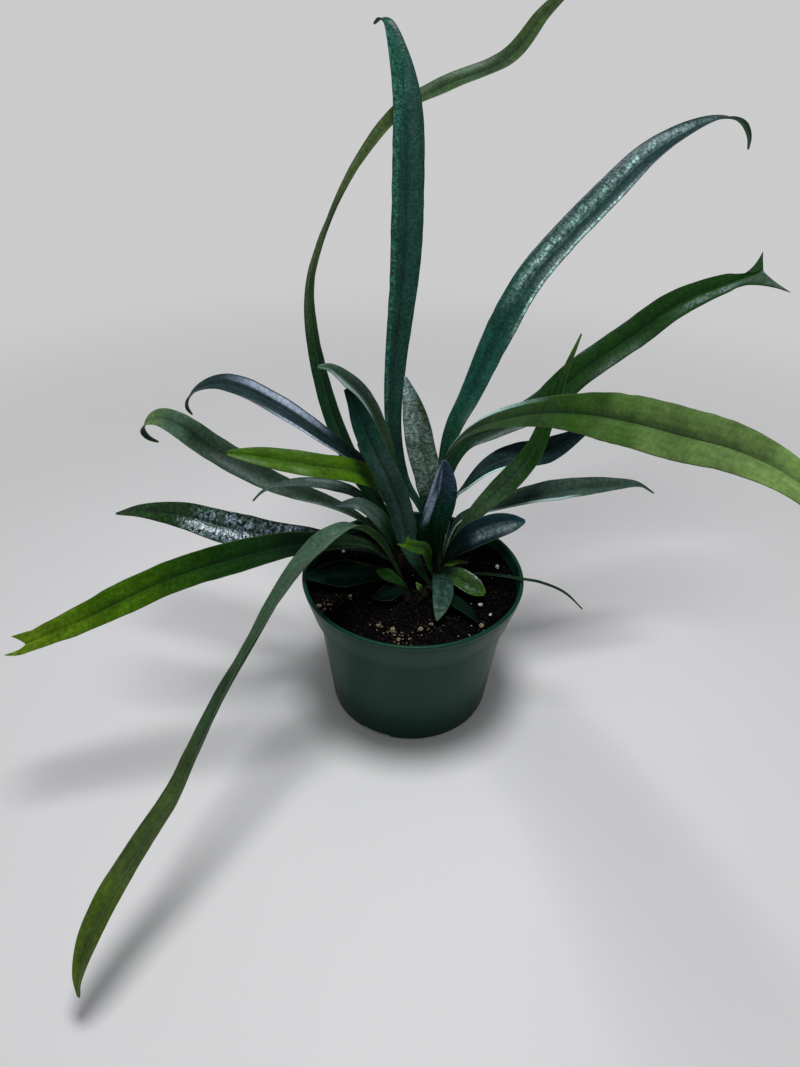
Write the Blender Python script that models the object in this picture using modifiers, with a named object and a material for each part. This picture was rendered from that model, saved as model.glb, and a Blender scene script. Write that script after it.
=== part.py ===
# Potted blue oil fern: a round nursery pot filled with soil, two creeping rhizomes lying on
# the soil, and the strap fronds that stand on them, with loose grains on the soil.
# The origin is the centre of the pot's flat underside, x runs to the right, y to the back
# and z up. Fronds, rhizomes and grains are laid out in millimetres in that frame.

import math
import random

import bmesh
import bpy
from mathutils import Vector, noise

MM = 0.001
GAP = 0.3 * MM  # clearance between pieces that touch on the real plant

# pot
POT_HEIGHT = 106 * MM
RIM_RADIUS = 76 * MM
LIP_WIDTH = 2.8 * MM
LIP_ROUND = 0.9 * MM
LIP_DEPTH = 3 * MM
COLLAR_HEIGHT = 24 * MM
COLLAR_DRAFT = 6 * MM  # how much narrower the collar is at its bottom than at the rim
COLLAR_STEP = 4 * MM
BASE_RADIUS = 57 * MM
BASE_ROUND = 2 * MM
WALL = 1.5 * MM
POT_STEPS = 48
DRAIN_SLOTS = 4  # cut through the corner between the base and the wall
DRAIN_WIDTH = 22 * MM
DRAIN_DEPTH = 7 * MM
DRAIN_HEIGHT = 2.5 * MM
DRAIN_TURN = math.radians(65)  # angle of the first slot from +X
SHARP_ANGLE = math.radians(35)  # edges of the pot steeper than this stay crisp

# soil
SOIL_TOP = 98 * MM  # at the wall of the pot
SOIL_CROWN = 1.5 * MM  # extra height of the mound in the middle
SOIL_BUMP = 0.8 * MM
SOIL_COARSE = 90  # bumps per metre, for the large and the small ones
SOIL_FINE = 260
SOIL_RINGS = 9
SOIL_STEPS = 40

# rhizomes
RHIZOME_RADIUS = 3 * MM
RHIZOME_HEIGHT = 100.4 * MM  # height of the axis: the lower half is sunk in the soil
RHIZOME_TIP_START = 0.9  # share of the length where the tip starts to thin
RHIZOME_TIP_SHARE = 0.55
SPINE_PIECES = 2  # stations between two neighbouring points of a rhizome or a frond

RHIZOMES = {
    "rhizome_left": [(3, 45), (-4, 35), (-10, 22), (-11, 8), (-9, -6), (-5, -17), (-4, -26)],
    "rhizome_right": [(12, 45), (16, 34), (19, 24), (19, 13), (17, 3), (13, -7), (8, -17), (3, -25)],
}

# fronds
BLADE_THICKNESS = 0.6 * MM
STALK_THICKNESS = 1.3 * MM
STALK_WIDTH = 2.2 * MM
STALK_SHARE = 0.25  # share of the length over which the stalk thins to the blade's thickness
STALK_TAPER = 0.6  # share of the stalk's width that is lost by the tip
WIDEN_POWER = 0.8  # how quickly a blade widens above its stalk
ROOT_HEIGHT = 103.85  # millimetres, just above the top of a rhizome
LOBE_ROWS = 4
LOBE_CURVE = 0.45  # how far a lobe runs straight on before it spreads, as a share of its reach

# Shares of the length: where the stalk starts to widen, where the blade is full, where the
# tip starts to narrow, how blunt the tip is (1 is straight sided, 3 is round), and the share
# of the full width that is left at the end.
SHAPES = {
    "strap": (0.1, 0.6, 0.7, 2.6, 0.05),
    "even": (0.02, 0.3, 0.85, 2, 0.06),
    "lance": (0.05, 0.55, 0.55, 1.8, 0.05),
    "slender": (0.05, 0.4, 0.45, 1.1, 0.05),
    "late": (0.28, 0.66, 0.66, 1.8, 0.05),
    "oval": (0.05, 0.45, 0.55, 2.2, 0.06),
    "spoon": (0.1, 0.65, 0.7, 2.4, 0.1),
    "necked": (0.04, 0.5, 0.75, 1.5, 0.36),
    "leafy": (0.02, 0.35, 0.38, 2, 0.06),
    "ribbon": (0.02, 0.6, 0.7, 2.6, 0.05),
    "sword": (0.02, 0.4, 0.65, 1.9, 0.05),
    "paddle": (0.2, 0.6, 0.66, 1.8, 0.05),
    "full": (0.05, 0.4, 0.62, 2.2, 0.06),
    "blunt": (0.05, 0.5, 0.7, 2.4, 0.2),
    "wide_fork": (0.04, 0.5, 0.75, 1.5, 0.6),
    "forking": (0.05, 0.45, 0.8, 1.5, 0.8),
}

# Each frond: its widest width, the lift of each half of the blade from flat (fold), the turn
# of the blade about its own length at even steps from root to tip (roll), the shape, an
# optional fork (reach and spread of each of the two lobes) and its line from the root.
FRONDS = {
    "frond_tall_centre": dict(
        width=23, fold=14, roll=(0, 0, 0, 0, 0), shape="ribbon", green="teal",
        line=[(15.5, 31), (11, 28.5, 125), (3, 31, 142), (-8, 42, 157), (-15.5, 54, 190), (-15, 73, 226),
              (-10, 98, 282), (-9, 124, 336), (-11, 146, 379), (-21, 164, 413.5), (-28, 170, 419.5),
              (-33, 173, 416)]),
    "frond_long_back": dict(
        width=12.5, fold=20, roll=(-60, -50, 8, -25, 0), shape="even", green="olive",
        line=[(-4.5, 37), (-33, 50, 143), (-51, 64, 171), (-66, 87, 206), (-75, 112, 248), (-71, 128, 281),
              (-53, 142, 322), (-20, 155, 365), (13, 163, 383), (54, 168, 399), (76, 171, 424),
              (93, 172, 438), (108, 173, 441), (118, 174, 434)]),
    "frond_glossy_right": dict(
        width=22, fold=16, roll=(-30, -35, -35, -25, 15), shape="sword", green="teal",
        line=[(17.4, 34), (19, 47, 146), (25, 65, 178), (39, 85, 201), (57, 108, 235), (77, 128, 267),
              (102, 145, 293), (129, 158, 318), (157, 169, 344), (184, 174, 360), (206, 179, 366),
              (221, 182, 363), (229, 184, 354), (231, 185, 345)]),
    "frond_forked_right": dict(
        width=22, fold=16, roll=(-20, -35, -38, -40, -40), shape="necked", green="deep",
        fork=((14.5, 14), (0.5, 16)),
        line=[(20, 28.5), (21.5, 39, 150), (32, 50, 177), (54, 58, 187), (86, 68, 200), (111, 76, 222),
              (145, 84, 246), (169, 86, 266), (194, 80, 282), (215.5, 70.5, 291.5)]),
    "frond_broad_right": dict(
        width=25, fold=14, roll=(0, -55, -60, -60, -50), shape="paddle", green="fresh",
        line=[(17, 22), (17, 18, 150), (18, 9, 187), (26, -3, 211), (40, -21, 232), (61, -42, 249),
              (80, -71, 264), (95, -107, 278), (106, -142, 290), (115, -175, 301.5), (123, -206, 307),
              (131, -227, 302), (135, -240, 291)]),
    "frond_pale_right": dict(
        width=17, fold=14, roll=(-20, -25, -25, -20, -20), shape="slender", green="light",
        line=[(20, 12.3), (30, 13, 127), (44, 18, 147), (64, 26, 166), (79, 34, 184), (89, 44, 211),
              (97, 54, 234), (105, 62, 255)]),
    "frond_dark_right": dict(
        width=18, fold=16, roll=(0, 0, -20, -20, -10), shape="late", green="blue",
        line=[(20.8, 23.5), (27, 27, 146), (35, 33, 155), (49, 42, 165), (66, 52, 168), (90, 65, 163),
              (112, 77, 164), (127, 84, 168)]),
    "frond_low_right": dict(
        width=16, fold=18, roll=(-20, -20, -20, -20, 0), shape="lance", green="blue",
        line=[(20.8, 18), (29, 26, 129), (42, 31, 136), (62, 33, 143), (86, 37, 148), (114, 44, 149),
              (142, 50, 149), (160, 54, 147), (174, 57, 138)]),
    "frond_short_right": dict(
        width=20, fold=16, roll=(-30, -35, -35, -35, -35), shape="lance", green="blue",
        line=[(19.3, 7.5), (26, 6, 119), (38, 4, 133), (51, 4, 141), (63, 4, 145), (74, 6, 146)]),
    "frond_short_centre": dict(
        width=24, fold=24, roll=(165, 165, 165, 165, 165), shape="leafy", green="blue",
        line=[(16.6, 9.5), (12.5, 7.5, 118), (10.8, 5.5, 132), (12.6, 3.5, 147), (15.5, 1, 162),
              (17, -2, 177), (16.8, -6, 198)]),
    "frond_mottled_centre": dict(
        width=20, fold=12, roll=(50, 50, 50, 50, 50), shape="full", green="silver",
        line=[(13.5, 40), (13, 37, 125), (12.2, 35.2, 142), (9.4, 38.5, 160), (4, 44.5, 177), (-1, 50, 200),
              (-8, 57, 225)]),
    "frond_broad_left": dict(
        width=19, fold=14, roll=(20, 45, 45, 40, 40), shape="blunt", green="deep",
        line=[(11.5, -10.2), (5.5, -6.5, 112), (0.5, -1, 118.5), (-4.2, 5, 129), (-8.4, 8, 147.5),
              (-12.8, 9, 161.5), (-18.2, 9, 176), (-26.2, 11, 193), (-35, 16, 212.5),
              (-39.8, 19, 223.5), (-45.2, 23, 231)]),
    "frond_hooked_left": dict(
        width=9, fold=12, roll=(60, 60, 60, 45, 30), shape="lance", green="olive",
        line=[(-2.5, 32), (-11, 32, 152), (-17, 33, 179), (-23, 36, 195.5), (-28.5, 36, 208.5),
              (-36, 33, 221.5), (-47, 26, 235.5), (-55, 22, 243.5), (-62, 21, 245)]),
    "frond_short_back": dict(
        width=10, fold=12, roll=(20, 20, 20, 20, 20), shape="lance", green="silver",
        line=[(0, 41), (-13, 47, 124), (-27, 56, 146), (-41, 68, 168)]),
    "frond_slate_left": dict(
        width=16, fold=14, roll=(25, 28, 28, 25, 0), shape="strap", green="slate",
        line=[(-10, 24.5), (-16, 25, 140), (-27, 26, 168), (-42, 23, 184), (-59, 23, 197), (-75, 27, 207),
              (-92, 33, 215), (-110, 39, 222), (-126, 44, 224), (-140, 48, 220), (-151, 52, 211),
              (-155, 54, 201), (-152, 54, 195)]),
    "frond_curled_left": dict(
        width=19.5, fold=14, roll=(20, 30, 42, 42, 0), shape="strap", green="deep",
        line=[(-12, 21), (-24, 15, 128), (-40, 17, 141), (-60, 24, 147), (-84, 34, 149), (-103, 40, 154),
              (-123, 47, 162), (-144, 54, 172), (-161, 58, 183), (-174, 60, 189), (-185, 62, 187),
              (-191, 63, 179), (-188, 63, 172), (-181, 62, 169)]),
    "frond_lime_left": dict(
        width=17, fold=10, roll=(10, 20, 40, 40, 40), shape="blunt", green="lime",
        line=[(-7, 27), (-16, 22, 150), (-25, 18, 167), (-42, 8, 181), (-61, 1, 188), (-79, -1, 192),
              (-98, -4, 197), (-117, -6, 200)]),
    "frond_narrow_left": dict(
        width=10, fold=14, roll=(20, 20, 20, 20, 0), shape="lance", green="deep",
        line=[(-12, 15), (-23, 11, 142), (-38, 11, 161), (-55, 12, 167), (-72, 12, 169), (-88, 12, 167),
              (-100, 12, 162), (-108, 11, 154)]),
    "frond_grey_left": dict(
        width=14, fold=12, roll=(20, 30, 40, 40, 30), shape="lance", green="silver",
        line=[(-10, 11), (-16, -2, 137), (-22, -6, 152), (-36, -5, 164), (-53, -4, 161)]),
    "frond_glossy_left": dict(
        width=23, fold=16, roll=(20, 35, 48, 48, 40), shape="lance", green="blue",
        line=[(-12, 8), (-27, 2, 121), (-46, -3, 131), (-69, -9, 139), (-97, -14, 144.5), (-122, -16, 151.5),
              (-148, -14, 158.5), (-174, -9, 158), (-195, -4, 152)]),
    "frond_forked_left": dict(
        width=21, fold=16, roll=(10, 25, 35, 35, 30), shape="wide_fork", green="fresh",
        fork=((6, 7.5), (12.5, 1.5)),
        line=[(-10, 4), (-11, 3, 109), (-17, -4, 120), (-27, -12, 135), (-40, -23, 147), (-59, -40, 158.5),
              (-82, -52, 163), (-110, -61, 159.5), (-139, -68, 153), (-168, -76, 142), (-196, -84, 130),
              (-226, -95, 121)]),
    "frond_long_front": dict(
        width=14, fold=20, roll=(0, -10, -45, -20, 0), shape="even", green="mid",
        line=[(-9, -1), (-18, -11, 132), (-27, -24, 154), (-37, -38, 170), (-48, -50, 173), (-62, -59, 164),
              (-76, -75, 151), (-90, -101, 136), (-104, -127, 120), (-115, -147, 103), (-127, -170, 84),
              (-141, -193, 71), (-152, -214, 61), (-160, -230, 48), (-165, -239, 33), (-166, -243, 20)]),
    "frond_rim_left": dict(
        width=19, fold=8, roll=(20, 40, 45, 45, 40), shape="lance", green="dark",
        line=[(-10, -6), (-12, -6.5, 107), (-26, -8, 110), (-44, -9.5, 111), (-60, -10, 110),
              (-74.5, -12, 108)]),
    "frond_spoon_left": dict(
        width=9, fold=14, roll=(30, 30, 30, 30, 30), shape="spoon", green="mid",
        line=[(-4.6, -17), (-5.5, -18, 108), (-10, -18, 112), (-17, -17, 116), (-24.5, -16, 119)]),
    "frond_shade_left": dict(
        width=12, fold=8, roll=(10, 20, 20, 20, 20), shape="lance", green="dark",
        line=[(-4, -22), (-6.5, -22.5, 106.5), (-12, -24, 107.5), (-20, -27, 107), (-27, -28, 106)]),
    "frond_lime_forked": dict(
        width=9, fold=14, roll=(0, 30, 50, 50, 50), shape="forking", green="lime", fork=((0.5, 5.5), (5, 3)),
        line=[(14.8, -3.4), (11, -4.5, 114), (9.5, -6, 125), (7, -7, 131), (2.7, -8, 132.6),
              (-2.2, -9, 134.8), (-5.7, -9, 136.7)]),
    "frond_bud": dict(
        width=6.5, fold=14, roll=(0, 0, 0, 0, 0), shape="spoon", green="lime",
        line=[(5.5, -20.5), (4.5, -22, 109), (2, -22, 114)]),
    "frond_hanging_front": dict(
        width=16, fold=10, roll=(0, 0, 0, 0, 0), shape="oval", green="silver",
        line=[(13.6, -6.4), (17, -11, 113), (19, -19, 115), (19.5, -29, 112), (18, -38.5, 108.5),
              (15.2, -47.5, 103)]),
    "frond_lime_folded": dict(
        width=16, fold=24, roll=(-20, -20, -20, -20, -20), shape="blunt", green="lime",
        line=[(16.4, 1.2), (19.3, -2, 109.5), (27, -8, 110.5), (34, -13, 109.5), (41, -18, 107.5),
              (48, -22, 105)]),
    "frond_lime_strip": dict(
        width=6, fold=10, roll=(0, 0, 0, 0, 0), shape="slender", green="lime",
        line=[(18.7, 2.8), (22, 2.8, 109), (29, 2.8, 112.5), (38, 2.8, 113)]),
    "frond_thread_right": dict(
        width=3, fold=10, roll=(0, 0, 0, 0, 0), shape="even", green="dark",
        line=[(16.8, -2), (19, -2.2, 105), (30, -2, 105.5), (47, -2, 107), (61, -5, 108), (75, -9, 108.5),
              (87, -11, 107.5), (103, -13, 101), (117, -15, 88)]),
    "frond_shade_right": dict(
        width=10, fold=8, roll=(0, 0, 0, 0, 0), shape="lance", green="dark",
        line=[(9.3, -14.6), (11.2, -16.8, 107), (16, -21, 107.5), (25, -28, 106), (34, -37, 105),
              (42, -47, 103)]),
}

# Grains on the soil, each at x and y with its size.
GRAINS = {
    "bark_chip": dict(
        colour="bark", seed=3,
        places=[(-22, -50, 4), (-13, -54, 5), (-9, -62, 3.4), (5, -53, 4.6), (12, -48, 3.6), (44, -48, 5),
                (-62, -31, 4.4), (-42, -21, 3.4)]),
    "perlite_grain": dict(
        colour="perlite", seed=40,
        places=[(45, -27, 4), (51, -36, 3), (60, 15, 4.6), (-50, 30, 3.6), (34, 50, 4.2), (-20, 60, 3)]),
}
GRAIN_UNEVEN = (0.85, 1.1)  # smallest and largest reach of a corner, as a share of the radius
GRAIN_DEPTH = (0.7, 0.9)  # smallest and largest depth and height, as shares of the length
GRAIN_HEIGHT = (0.6, 0.75)

# colour, roughness
COLOURS = {
    "pot_green": ((0.012, 0.11, 0.055), 0.38),
    "soil": ((0.02, 0.013, 0.009), 0.95),
    "rhizome": ((0.06, 0.035, 0.018), 0.8),
    "bark": ((0.42, 0.27, 0.13), 0.85),
    "perlite": ((0.75, 0.73, 0.68), 0.8),
    "teal": ((0.008, 0.085, 0.05), 0.3),
    "deep": ((0.016, 0.075, 0.03), 0.36),
    "dark": ((0.008, 0.035, 0.02), 0.42),
    "mid": ((0.03, 0.12, 0.035), 0.4),
    "fresh": ((0.045, 0.15, 0.03), 0.42),
    "light": ((0.07, 0.19, 0.03), 0.45),
    "lime": ((0.13, 0.32, 0.03), 0.42),
    "olive": ((0.06, 0.11, 0.035), 0.4),
    "slate": ((0.02, 0.045, 0.06), 0.36),
    "blue": ((0.008, 0.05, 0.06), 0.24),
    "silver": ((0.05, 0.11, 0.075), 0.4),
}


def clear_scene():
    for item in list(bpy.data.objects):
        bpy.data.objects.remove(item, do_unlink=True)


def new_collection(name, hidden=False):
    made = bpy.data.collections.new(name)
    made.hide_render = hidden
    bpy.context.scene.collection.children.link(made)
    return made


def material(name):
    made = bpy.data.materials.get(name)
    if made is None:
        colour, roughness = COLOURS[name]
        made = bpy.data.materials.new(name)
        made.use_nodes = True
        shader = made.node_tree.nodes["Principled BSDF"]
        shader.inputs["Base Color"].default_value = (*colour, 1)
        shader.inputs["Roughness"].default_value = roughness
        shader.inputs["Metallic"].default_value = 0
    return made


def new_object(name, data, collection, colour=None):
    made = bpy.data.objects.new(name, data)
    collection.objects.link(made)
    if colour:
        data.materials.append(material(colour))
    return made


def as_cutter(item, cutters):
    item.hide_render = True
    item.display_type = "WIRE"
    for collection in list(item.users_collection):
        collection.objects.unlink(item)
    cutters.objects.link(item)
    return item


def cut(item, cutter):
    made = item.modifiers.new("cut_" + cutter.name, "BOOLEAN")
    made.operation = "DIFFERENCE"
    made.object = cutter


def smooth_step(low, high, value):
    share = min(1, max(0, (value - low) / (high - low)))
    return share * share * (3 - 2 * share)


def smooth_line(points, pieces):
    """Stations on a smooth curve through the points, with a number of pieces between two points."""
    ends = [points[0] * 2 - points[1]] + points + [points[-1] * 2 - points[-2]]
    stations = [points[0]]
    for before, start, end, after in zip(ends, ends[1:], ends[2:], ends[3:]):
        for step in range(1, pieces + 1):
            t = step / pieces
            stations.append(
                0.5 * (2 * start + (end - before) * t
                       + (2 * before - 5 * start + 4 * end - after) * t ** 2
                       + (3 * start - before - 3 * end + after) * t ** 3))
    return stations


def evaluated_mesh(item):
    bpy.context.view_layer.update()
    return bpy.data.meshes.new_from_object(item.evaluated_get(bpy.context.evaluated_depsgraph_get()))


def turned(name, profile, collection, colour, steps):
    """A solid of revolution about z, as a plain mesh. The outer side runs from top to bottom."""
    mesh = bpy.data.meshes.new(name)
    edges = [(i, i + 1) for i in range(len(profile) - 1)]
    mesh.from_pydata([(x, 0, z) for x, z in profile], edges, [])
    made = new_object(name, mesh, collection, colour)
    screw = made.modifiers.new("turn", "SCREW")
    screw.steps = screw.render_steps = steps
    screw.use_merge_vertices = True
    screw.merge_threshold = 0.00001
    solid = evaluated_mesh(made)
    solid.shade_smooth()
    solid.set_sharp_from_angle(angle=SHARP_ANGLE)
    made.modifiers.clear()
    made.data = solid
    return made


def arc(centre_x, centre_z, radius, start, end, steps):
    """Points on an arc, with the angles in degrees from +x towards +z."""
    turns = [math.radians(start + (end - start) * i / steps) for i in range(steps + 1)]
    return [(centre_x + radius * math.cos(a), centre_z + radius * math.sin(a)) for a in turns]


def inner_wall():
    """Radius and height at each corner of the pot's inner wall, from its foot to its lip."""
    collar_bottom = POT_HEIGHT - COLLAR_HEIGHT
    collar_foot = RIM_RADIUS - COLLAR_DRAFT
    return [
        (BASE_RADIUS - WALL, WALL),
        (collar_foot - COLLAR_STEP - WALL, collar_bottom - WALL),
        (collar_foot - WALL, collar_bottom + WALL),
        (RIM_RADIUS - LIP_WIDTH, POT_HEIGHT - LIP_DEPTH),
    ]


def wall_radius(height):
    """Inner radius of the pot at a height."""
    corners = inner_wall()
    for (low_radius, low), (high_radius, high) in zip(corners, corners[1:]):
        if height <= high:
            break
    return low_radius + (high_radius - low_radius) * (height - low) / (high - low)


def drain_cutter(index, cutters):
    """A box across the corner between the base and the wall."""
    angle = DRAIN_TURN + 2 * math.pi * index / DRAIN_SLOTS
    mesh = bpy.data.meshes.new(f"drain_cutter_{index + 1}")
    shape = bmesh.new()
    bmesh.ops.create_cube(shape, size=1)
    bmesh.ops.scale(shape, vec=(2 * DRAIN_DEPTH, DRAIN_WIDTH, 2 * DRAIN_HEIGHT), verts=shape.verts)
    shape.to_mesh(mesh)
    shape.free()
    cutter = new_object(mesh.name, mesh, cutters)
    cutter.rotation_euler.z = angle
    cutter.location = (BASE_RADIUS * math.cos(angle), BASE_RADIUS * math.sin(angle), 0)
    return as_cutter(cutter, cutters)


def make_pot(collection, cutters):
    collar_bottom = POT_HEIGHT - COLLAR_HEIGHT
    collar_foot = RIM_RADIUS - COLLAR_DRAFT
    lip_inside = RIM_RADIUS - LIP_WIDTH
    inside = [(0, WALL), (wall_radius(WALL) - 2 * WALL, WALL), (wall_radius(3 * WALL), 3 * WALL)]
    inside += inner_wall()[1:]
    lip = arc(lip_inside + LIP_ROUND, POT_HEIGHT - LIP_ROUND, LIP_ROUND, 180, 90, 3)
    lip += arc(RIM_RADIUS - LIP_ROUND, POT_HEIGHT - LIP_ROUND, LIP_ROUND, 90, 0, 3)
    outside = [
        (RIM_RADIUS - LIP_ROUND / 2, POT_HEIGHT - LIP_DEPTH),
        (collar_foot, collar_bottom + WALL / 2),
        (collar_foot - WALL / 3, collar_bottom),
        (collar_foot - COLLAR_STEP, collar_bottom - WALL / 3),
    ]
    foot = arc(BASE_RADIUS - BASE_ROUND, BASE_ROUND, BASE_ROUND, 0, -90, 5)
    pot = turned("pot", inside + lip + outside + foot + [(0, 0)], collection, "pot_green", POT_STEPS)
    for index in range(DRAIN_SLOTS):
        cut(pot, drain_cutter(index, cutters))
    return pot


def soil_height(x, y):
    """Height of the soil's surface: a low mound with small bumps that fade at the wall."""
    share = min(1, math.hypot(x, y) / wall_radius(SOIL_TOP))
    place = Vector((x, y, 0))
    bump = noise.noise(place * SOIL_COARSE) + 0.5 * noise.noise(place * SOIL_FINE)
    return SOIL_TOP + SOIL_CROWN * (1 - share * share) + SOIL_BUMP * bump * (1 - share ** 6)


def make_soil(collection):
    """Soil that fills the pot and stays clear of its wall."""
    top_radius = wall_radius(SOIL_TOP) - GAP
    bottom = WALL + GAP
    foot = 3 * WALL + GAP
    profile = [(top_radius * i / SOIL_RINGS, SOIL_TOP) for i in range(SOIL_RINGS + 1)]
    profile += [(radius - GAP, height + GAP / 2) for radius, height in reversed(inner_wall()[1:3])]
    profile += [(wall_radius(foot) - GAP, foot), (wall_radius(foot) - 3 * WALL, bottom), (0, bottom)]
    soil = turned("soil", profile, collection, "soil", SOIL_STEPS)
    for vertex in soil.data.vertices:
        if vertex.co.z > SOIL_TOP - GAP:
            vertex.co.z = soil_height(vertex.co.x, vertex.co.y)
    return soil


def rhizome_curve(name, path, clearance=0):
    """A creeping stem that thins towards its growing end, or a copy that is larger all round."""
    curve = bpy.data.curves.new(name, "CURVE")
    curve.dimensions = "3D"
    curve.bevel_depth = RHIZOME_RADIUS + clearance
    curve.bevel_resolution = 2
    curve.use_fill_caps = True
    stations = smooth_line([Vector((x * MM, y * MM, RHIZOME_HEIGHT)) for x, y in path], SPINE_PIECES)
    for end, inner in ((0, 1), (-1, -2)):
        stations[end] += (stations[end] - stations[inner]).normalized() * clearance
    spline = curve.splines.new("POLY")
    spline.points.add(len(stations) - 1)
    for index, (point, place) in enumerate(zip(spline.points, stations)):
        share = index / (len(stations) - 1)
        point.co = (*place, 1)
        point.radius = 1 - (1 - RHIZOME_TIP_SHARE) * smooth_step(RHIZOME_TIP_START, 1, share)
    return curve


def make_rhizome(name, path, soil, collection, cutters):
    made = new_object(name, rhizome_curve(name, path), collection, "rhizome")
    pocket = new_object(name + "_pocket", rhizome_curve(name, path, GAP), cutters)
    mesh = evaluated_mesh(pocket)
    shape = bmesh.new()
    shape.from_mesh(mesh)
    bmesh.ops.remove_doubles(shape, verts=shape.verts, dist=0.00001)
    bmesh.ops.recalc_face_normals(shape, faces=shape.faces)
    shape.to_mesh(mesh)
    shape.free()
    cutter = new_object(name + "_cutter", mesh, cutters)
    bpy.data.objects.remove(pocket)
    cut(soil, as_cutter(cutter, cutters))
    return made


def blade_share(u, shape):
    """Width of the blade at share u of its length, as a share of its widest width."""
    stalk, full, taper, blunt, end = SHAPES[shape]
    widen = min(1, max(0, (u - stalk) / (full - stalk))) ** WIDEN_POWER
    narrow = max(0, (u - taper) / (1 - taper)) ** blunt
    return widen * (1 - (1 - end) * narrow)


def at_even_steps(values, u):
    """The value at share u of a run of values that stand at even steps."""
    place = u * (len(values) - 1)
    step = min(int(place), len(values) - 2)
    return values[step] + (values[step + 1] - values[step]) * (place - step)


def frond_frames(plan):
    """Share of the length, place, direction, side and face at each station from root to tip."""
    points = [(*plan["line"][0], ROOT_HEIGHT)] + plan["line"][1:]
    stations = smooth_line([Vector(point) * MM for point in points], SPINE_PIECES)
    lengths = [0]
    for start, end in zip(stations, stations[1:]):
        lengths.append(lengths[-1] + (end - start).length)
    lean = stations[-1] - stations[0]
    across = Vector((-lean.y, lean.x, 0)).normalized()
    frames = []
    for index, place in enumerate(stations):
        before = stations[max(0, index - 1)]
        after = stations[min(len(stations) - 1, index + 1)]
        along = (after - before).normalized()
        side = (across - along * across.dot(along)).normalized()
        face = along.cross(side)
        u = lengths[index] / lengths[-1]
        turn = math.radians(at_even_steps(plan["roll"], u))
        frames.append((u, place, along, side * math.cos(turn) - face * math.sin(turn),
                       face * math.cos(turn) + side * math.sin(turn)))
    return frames


def lobe_point(frame, half, reach, spread, side_sign, outer, t):
    """A point at share t of the way from the notch to a lobe's tip, on its inner or outer edge."""
    place, along, side = frame[1:4]
    out = side * side_sign
    start = place + out * (half if outer else 0)
    tip = place + along * reach + out * (spread + BLADE_THICKNESS * (0.5 if outer else -0.5))
    control = start + along * reach * LOBE_CURVE
    return start * (1 - t) ** 2 + control * 2 * t * (1 - t) + tip * t ** 2


def make_frond(name, plan, collection):
    frames = frond_frames(plan)
    width = plan["width"] * MM
    fold = math.radians(plan["fold"])
    fork = plan.get("fork")
    last_row = len(frames) - 1
    rows = last_row + (LOBE_ROWS if fork else 0)
    mesh = bpy.data.meshes.new(name)
    shape = bmesh.new()
    bmesh.ops.create_grid(shape, x_segments=2, y_segments=rows, size=1)
    # the column is -1, 0 or 1 across the blade and the row counts the stations along it
    grid = {tuple(vertex.co): (round(vertex.co.x), round((vertex.co.y + 1) / 2 * rows))
            for vertex in shape.verts}
    if fork:
        slit = [vertex for vertex in shape.verts
                if grid[tuple(vertex.co)][0] == 0 and grid[tuple(vertex.co)][1] >= last_row]
        seam = [edge for edge in shape.edges if edge.verts[0] in slit and edge.verts[1] in slit]
        bmesh.ops.split_edges(shape, edges=seam)
    shape.verts.ensure_lookup_table()
    cells = []
    for vertex in shape.verts:
        column, row = grid[tuple(vertex.co)]
        middle = sum(face.calc_center_median().x for face in vertex.link_faces)
        cells.append((vertex, column, row, math.copysign(1, middle)))
    stalk_weight = {}
    for vertex, column, row, lobe in cells:
        frame = frames[min(row, last_row)]
        u, place, _, side, face = frame
        half = 0.5 * max(STALK_WIDTH * (1 - STALK_TAPER * u), width * blade_share(u, plan["shape"]))
        lift = half * math.sin(fold) * (abs(column) - 0.5)
        if row > last_row:
            t = (row - last_row) / LOBE_ROWS
            reach, spread = fork[0 if lobe < 0 else 1]
            vertex.co = lobe_point(frame, half, reach * MM, spread * MM, lobe, column != 0, t)
            vertex.co += face * lift * (1 - t)
        else:
            vertex.co = place + side * (column * half * math.cos(fold)) + face * lift
        stalk_weight[vertex.index] = max(0, 1 - u / STALK_SHARE)
    shape.to_mesh(mesh)
    shape.free()
    mesh.shade_smooth()
    made = new_object(name, mesh, collection, plan["green"])
    stalk = made.vertex_groups.new(name="stalk")
    for index, weight in stalk_weight.items():
        stalk.add([index], weight, "REPLACE")
    solidify = made.modifiers.new("leaf", "SOLIDIFY")
    solidify.thickness = STALK_THICKNESS
    solidify.offset = 0
    solidify.vertex_group = "stalk"
    solidify.thickness_vertex_group = BLADE_THICKNESS / STALK_THICKNESS
    return made


def make_grain(name, place, colour, collection, seed):
    """An uneven pebble that rests on the soil."""
    x, y, size = [value * MM for value in place]
    chance = random.Random(seed)
    mesh = bpy.data.meshes.new(name)
    shape = bmesh.new()
    bmesh.ops.create_icosphere(shape, subdivisions=1, radius=size / 2)
    stretch = Vector((1, chance.uniform(*GRAIN_DEPTH), chance.uniform(*GRAIN_HEIGHT)))
    for vertex in shape.verts:
        vertex.co = vertex.co * chance.uniform(*GRAIN_UNEVEN) * stretch
    shape.to_mesh(mesh)
    shape.free()
    made = new_object(name, mesh, collection, colour)
    made.rotation_euler.z = chance.uniform(0, math.pi)
    around = [size * 0.2 * step for step in range(-3, 4)]
    ground = max(soil_height(x + right, y + back) for right in around for back in around)
    lowest = min(vertex.co.z for vertex in mesh.vertices)
    made.location = (x, y, ground + GAP - lowest)
    return made


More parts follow.
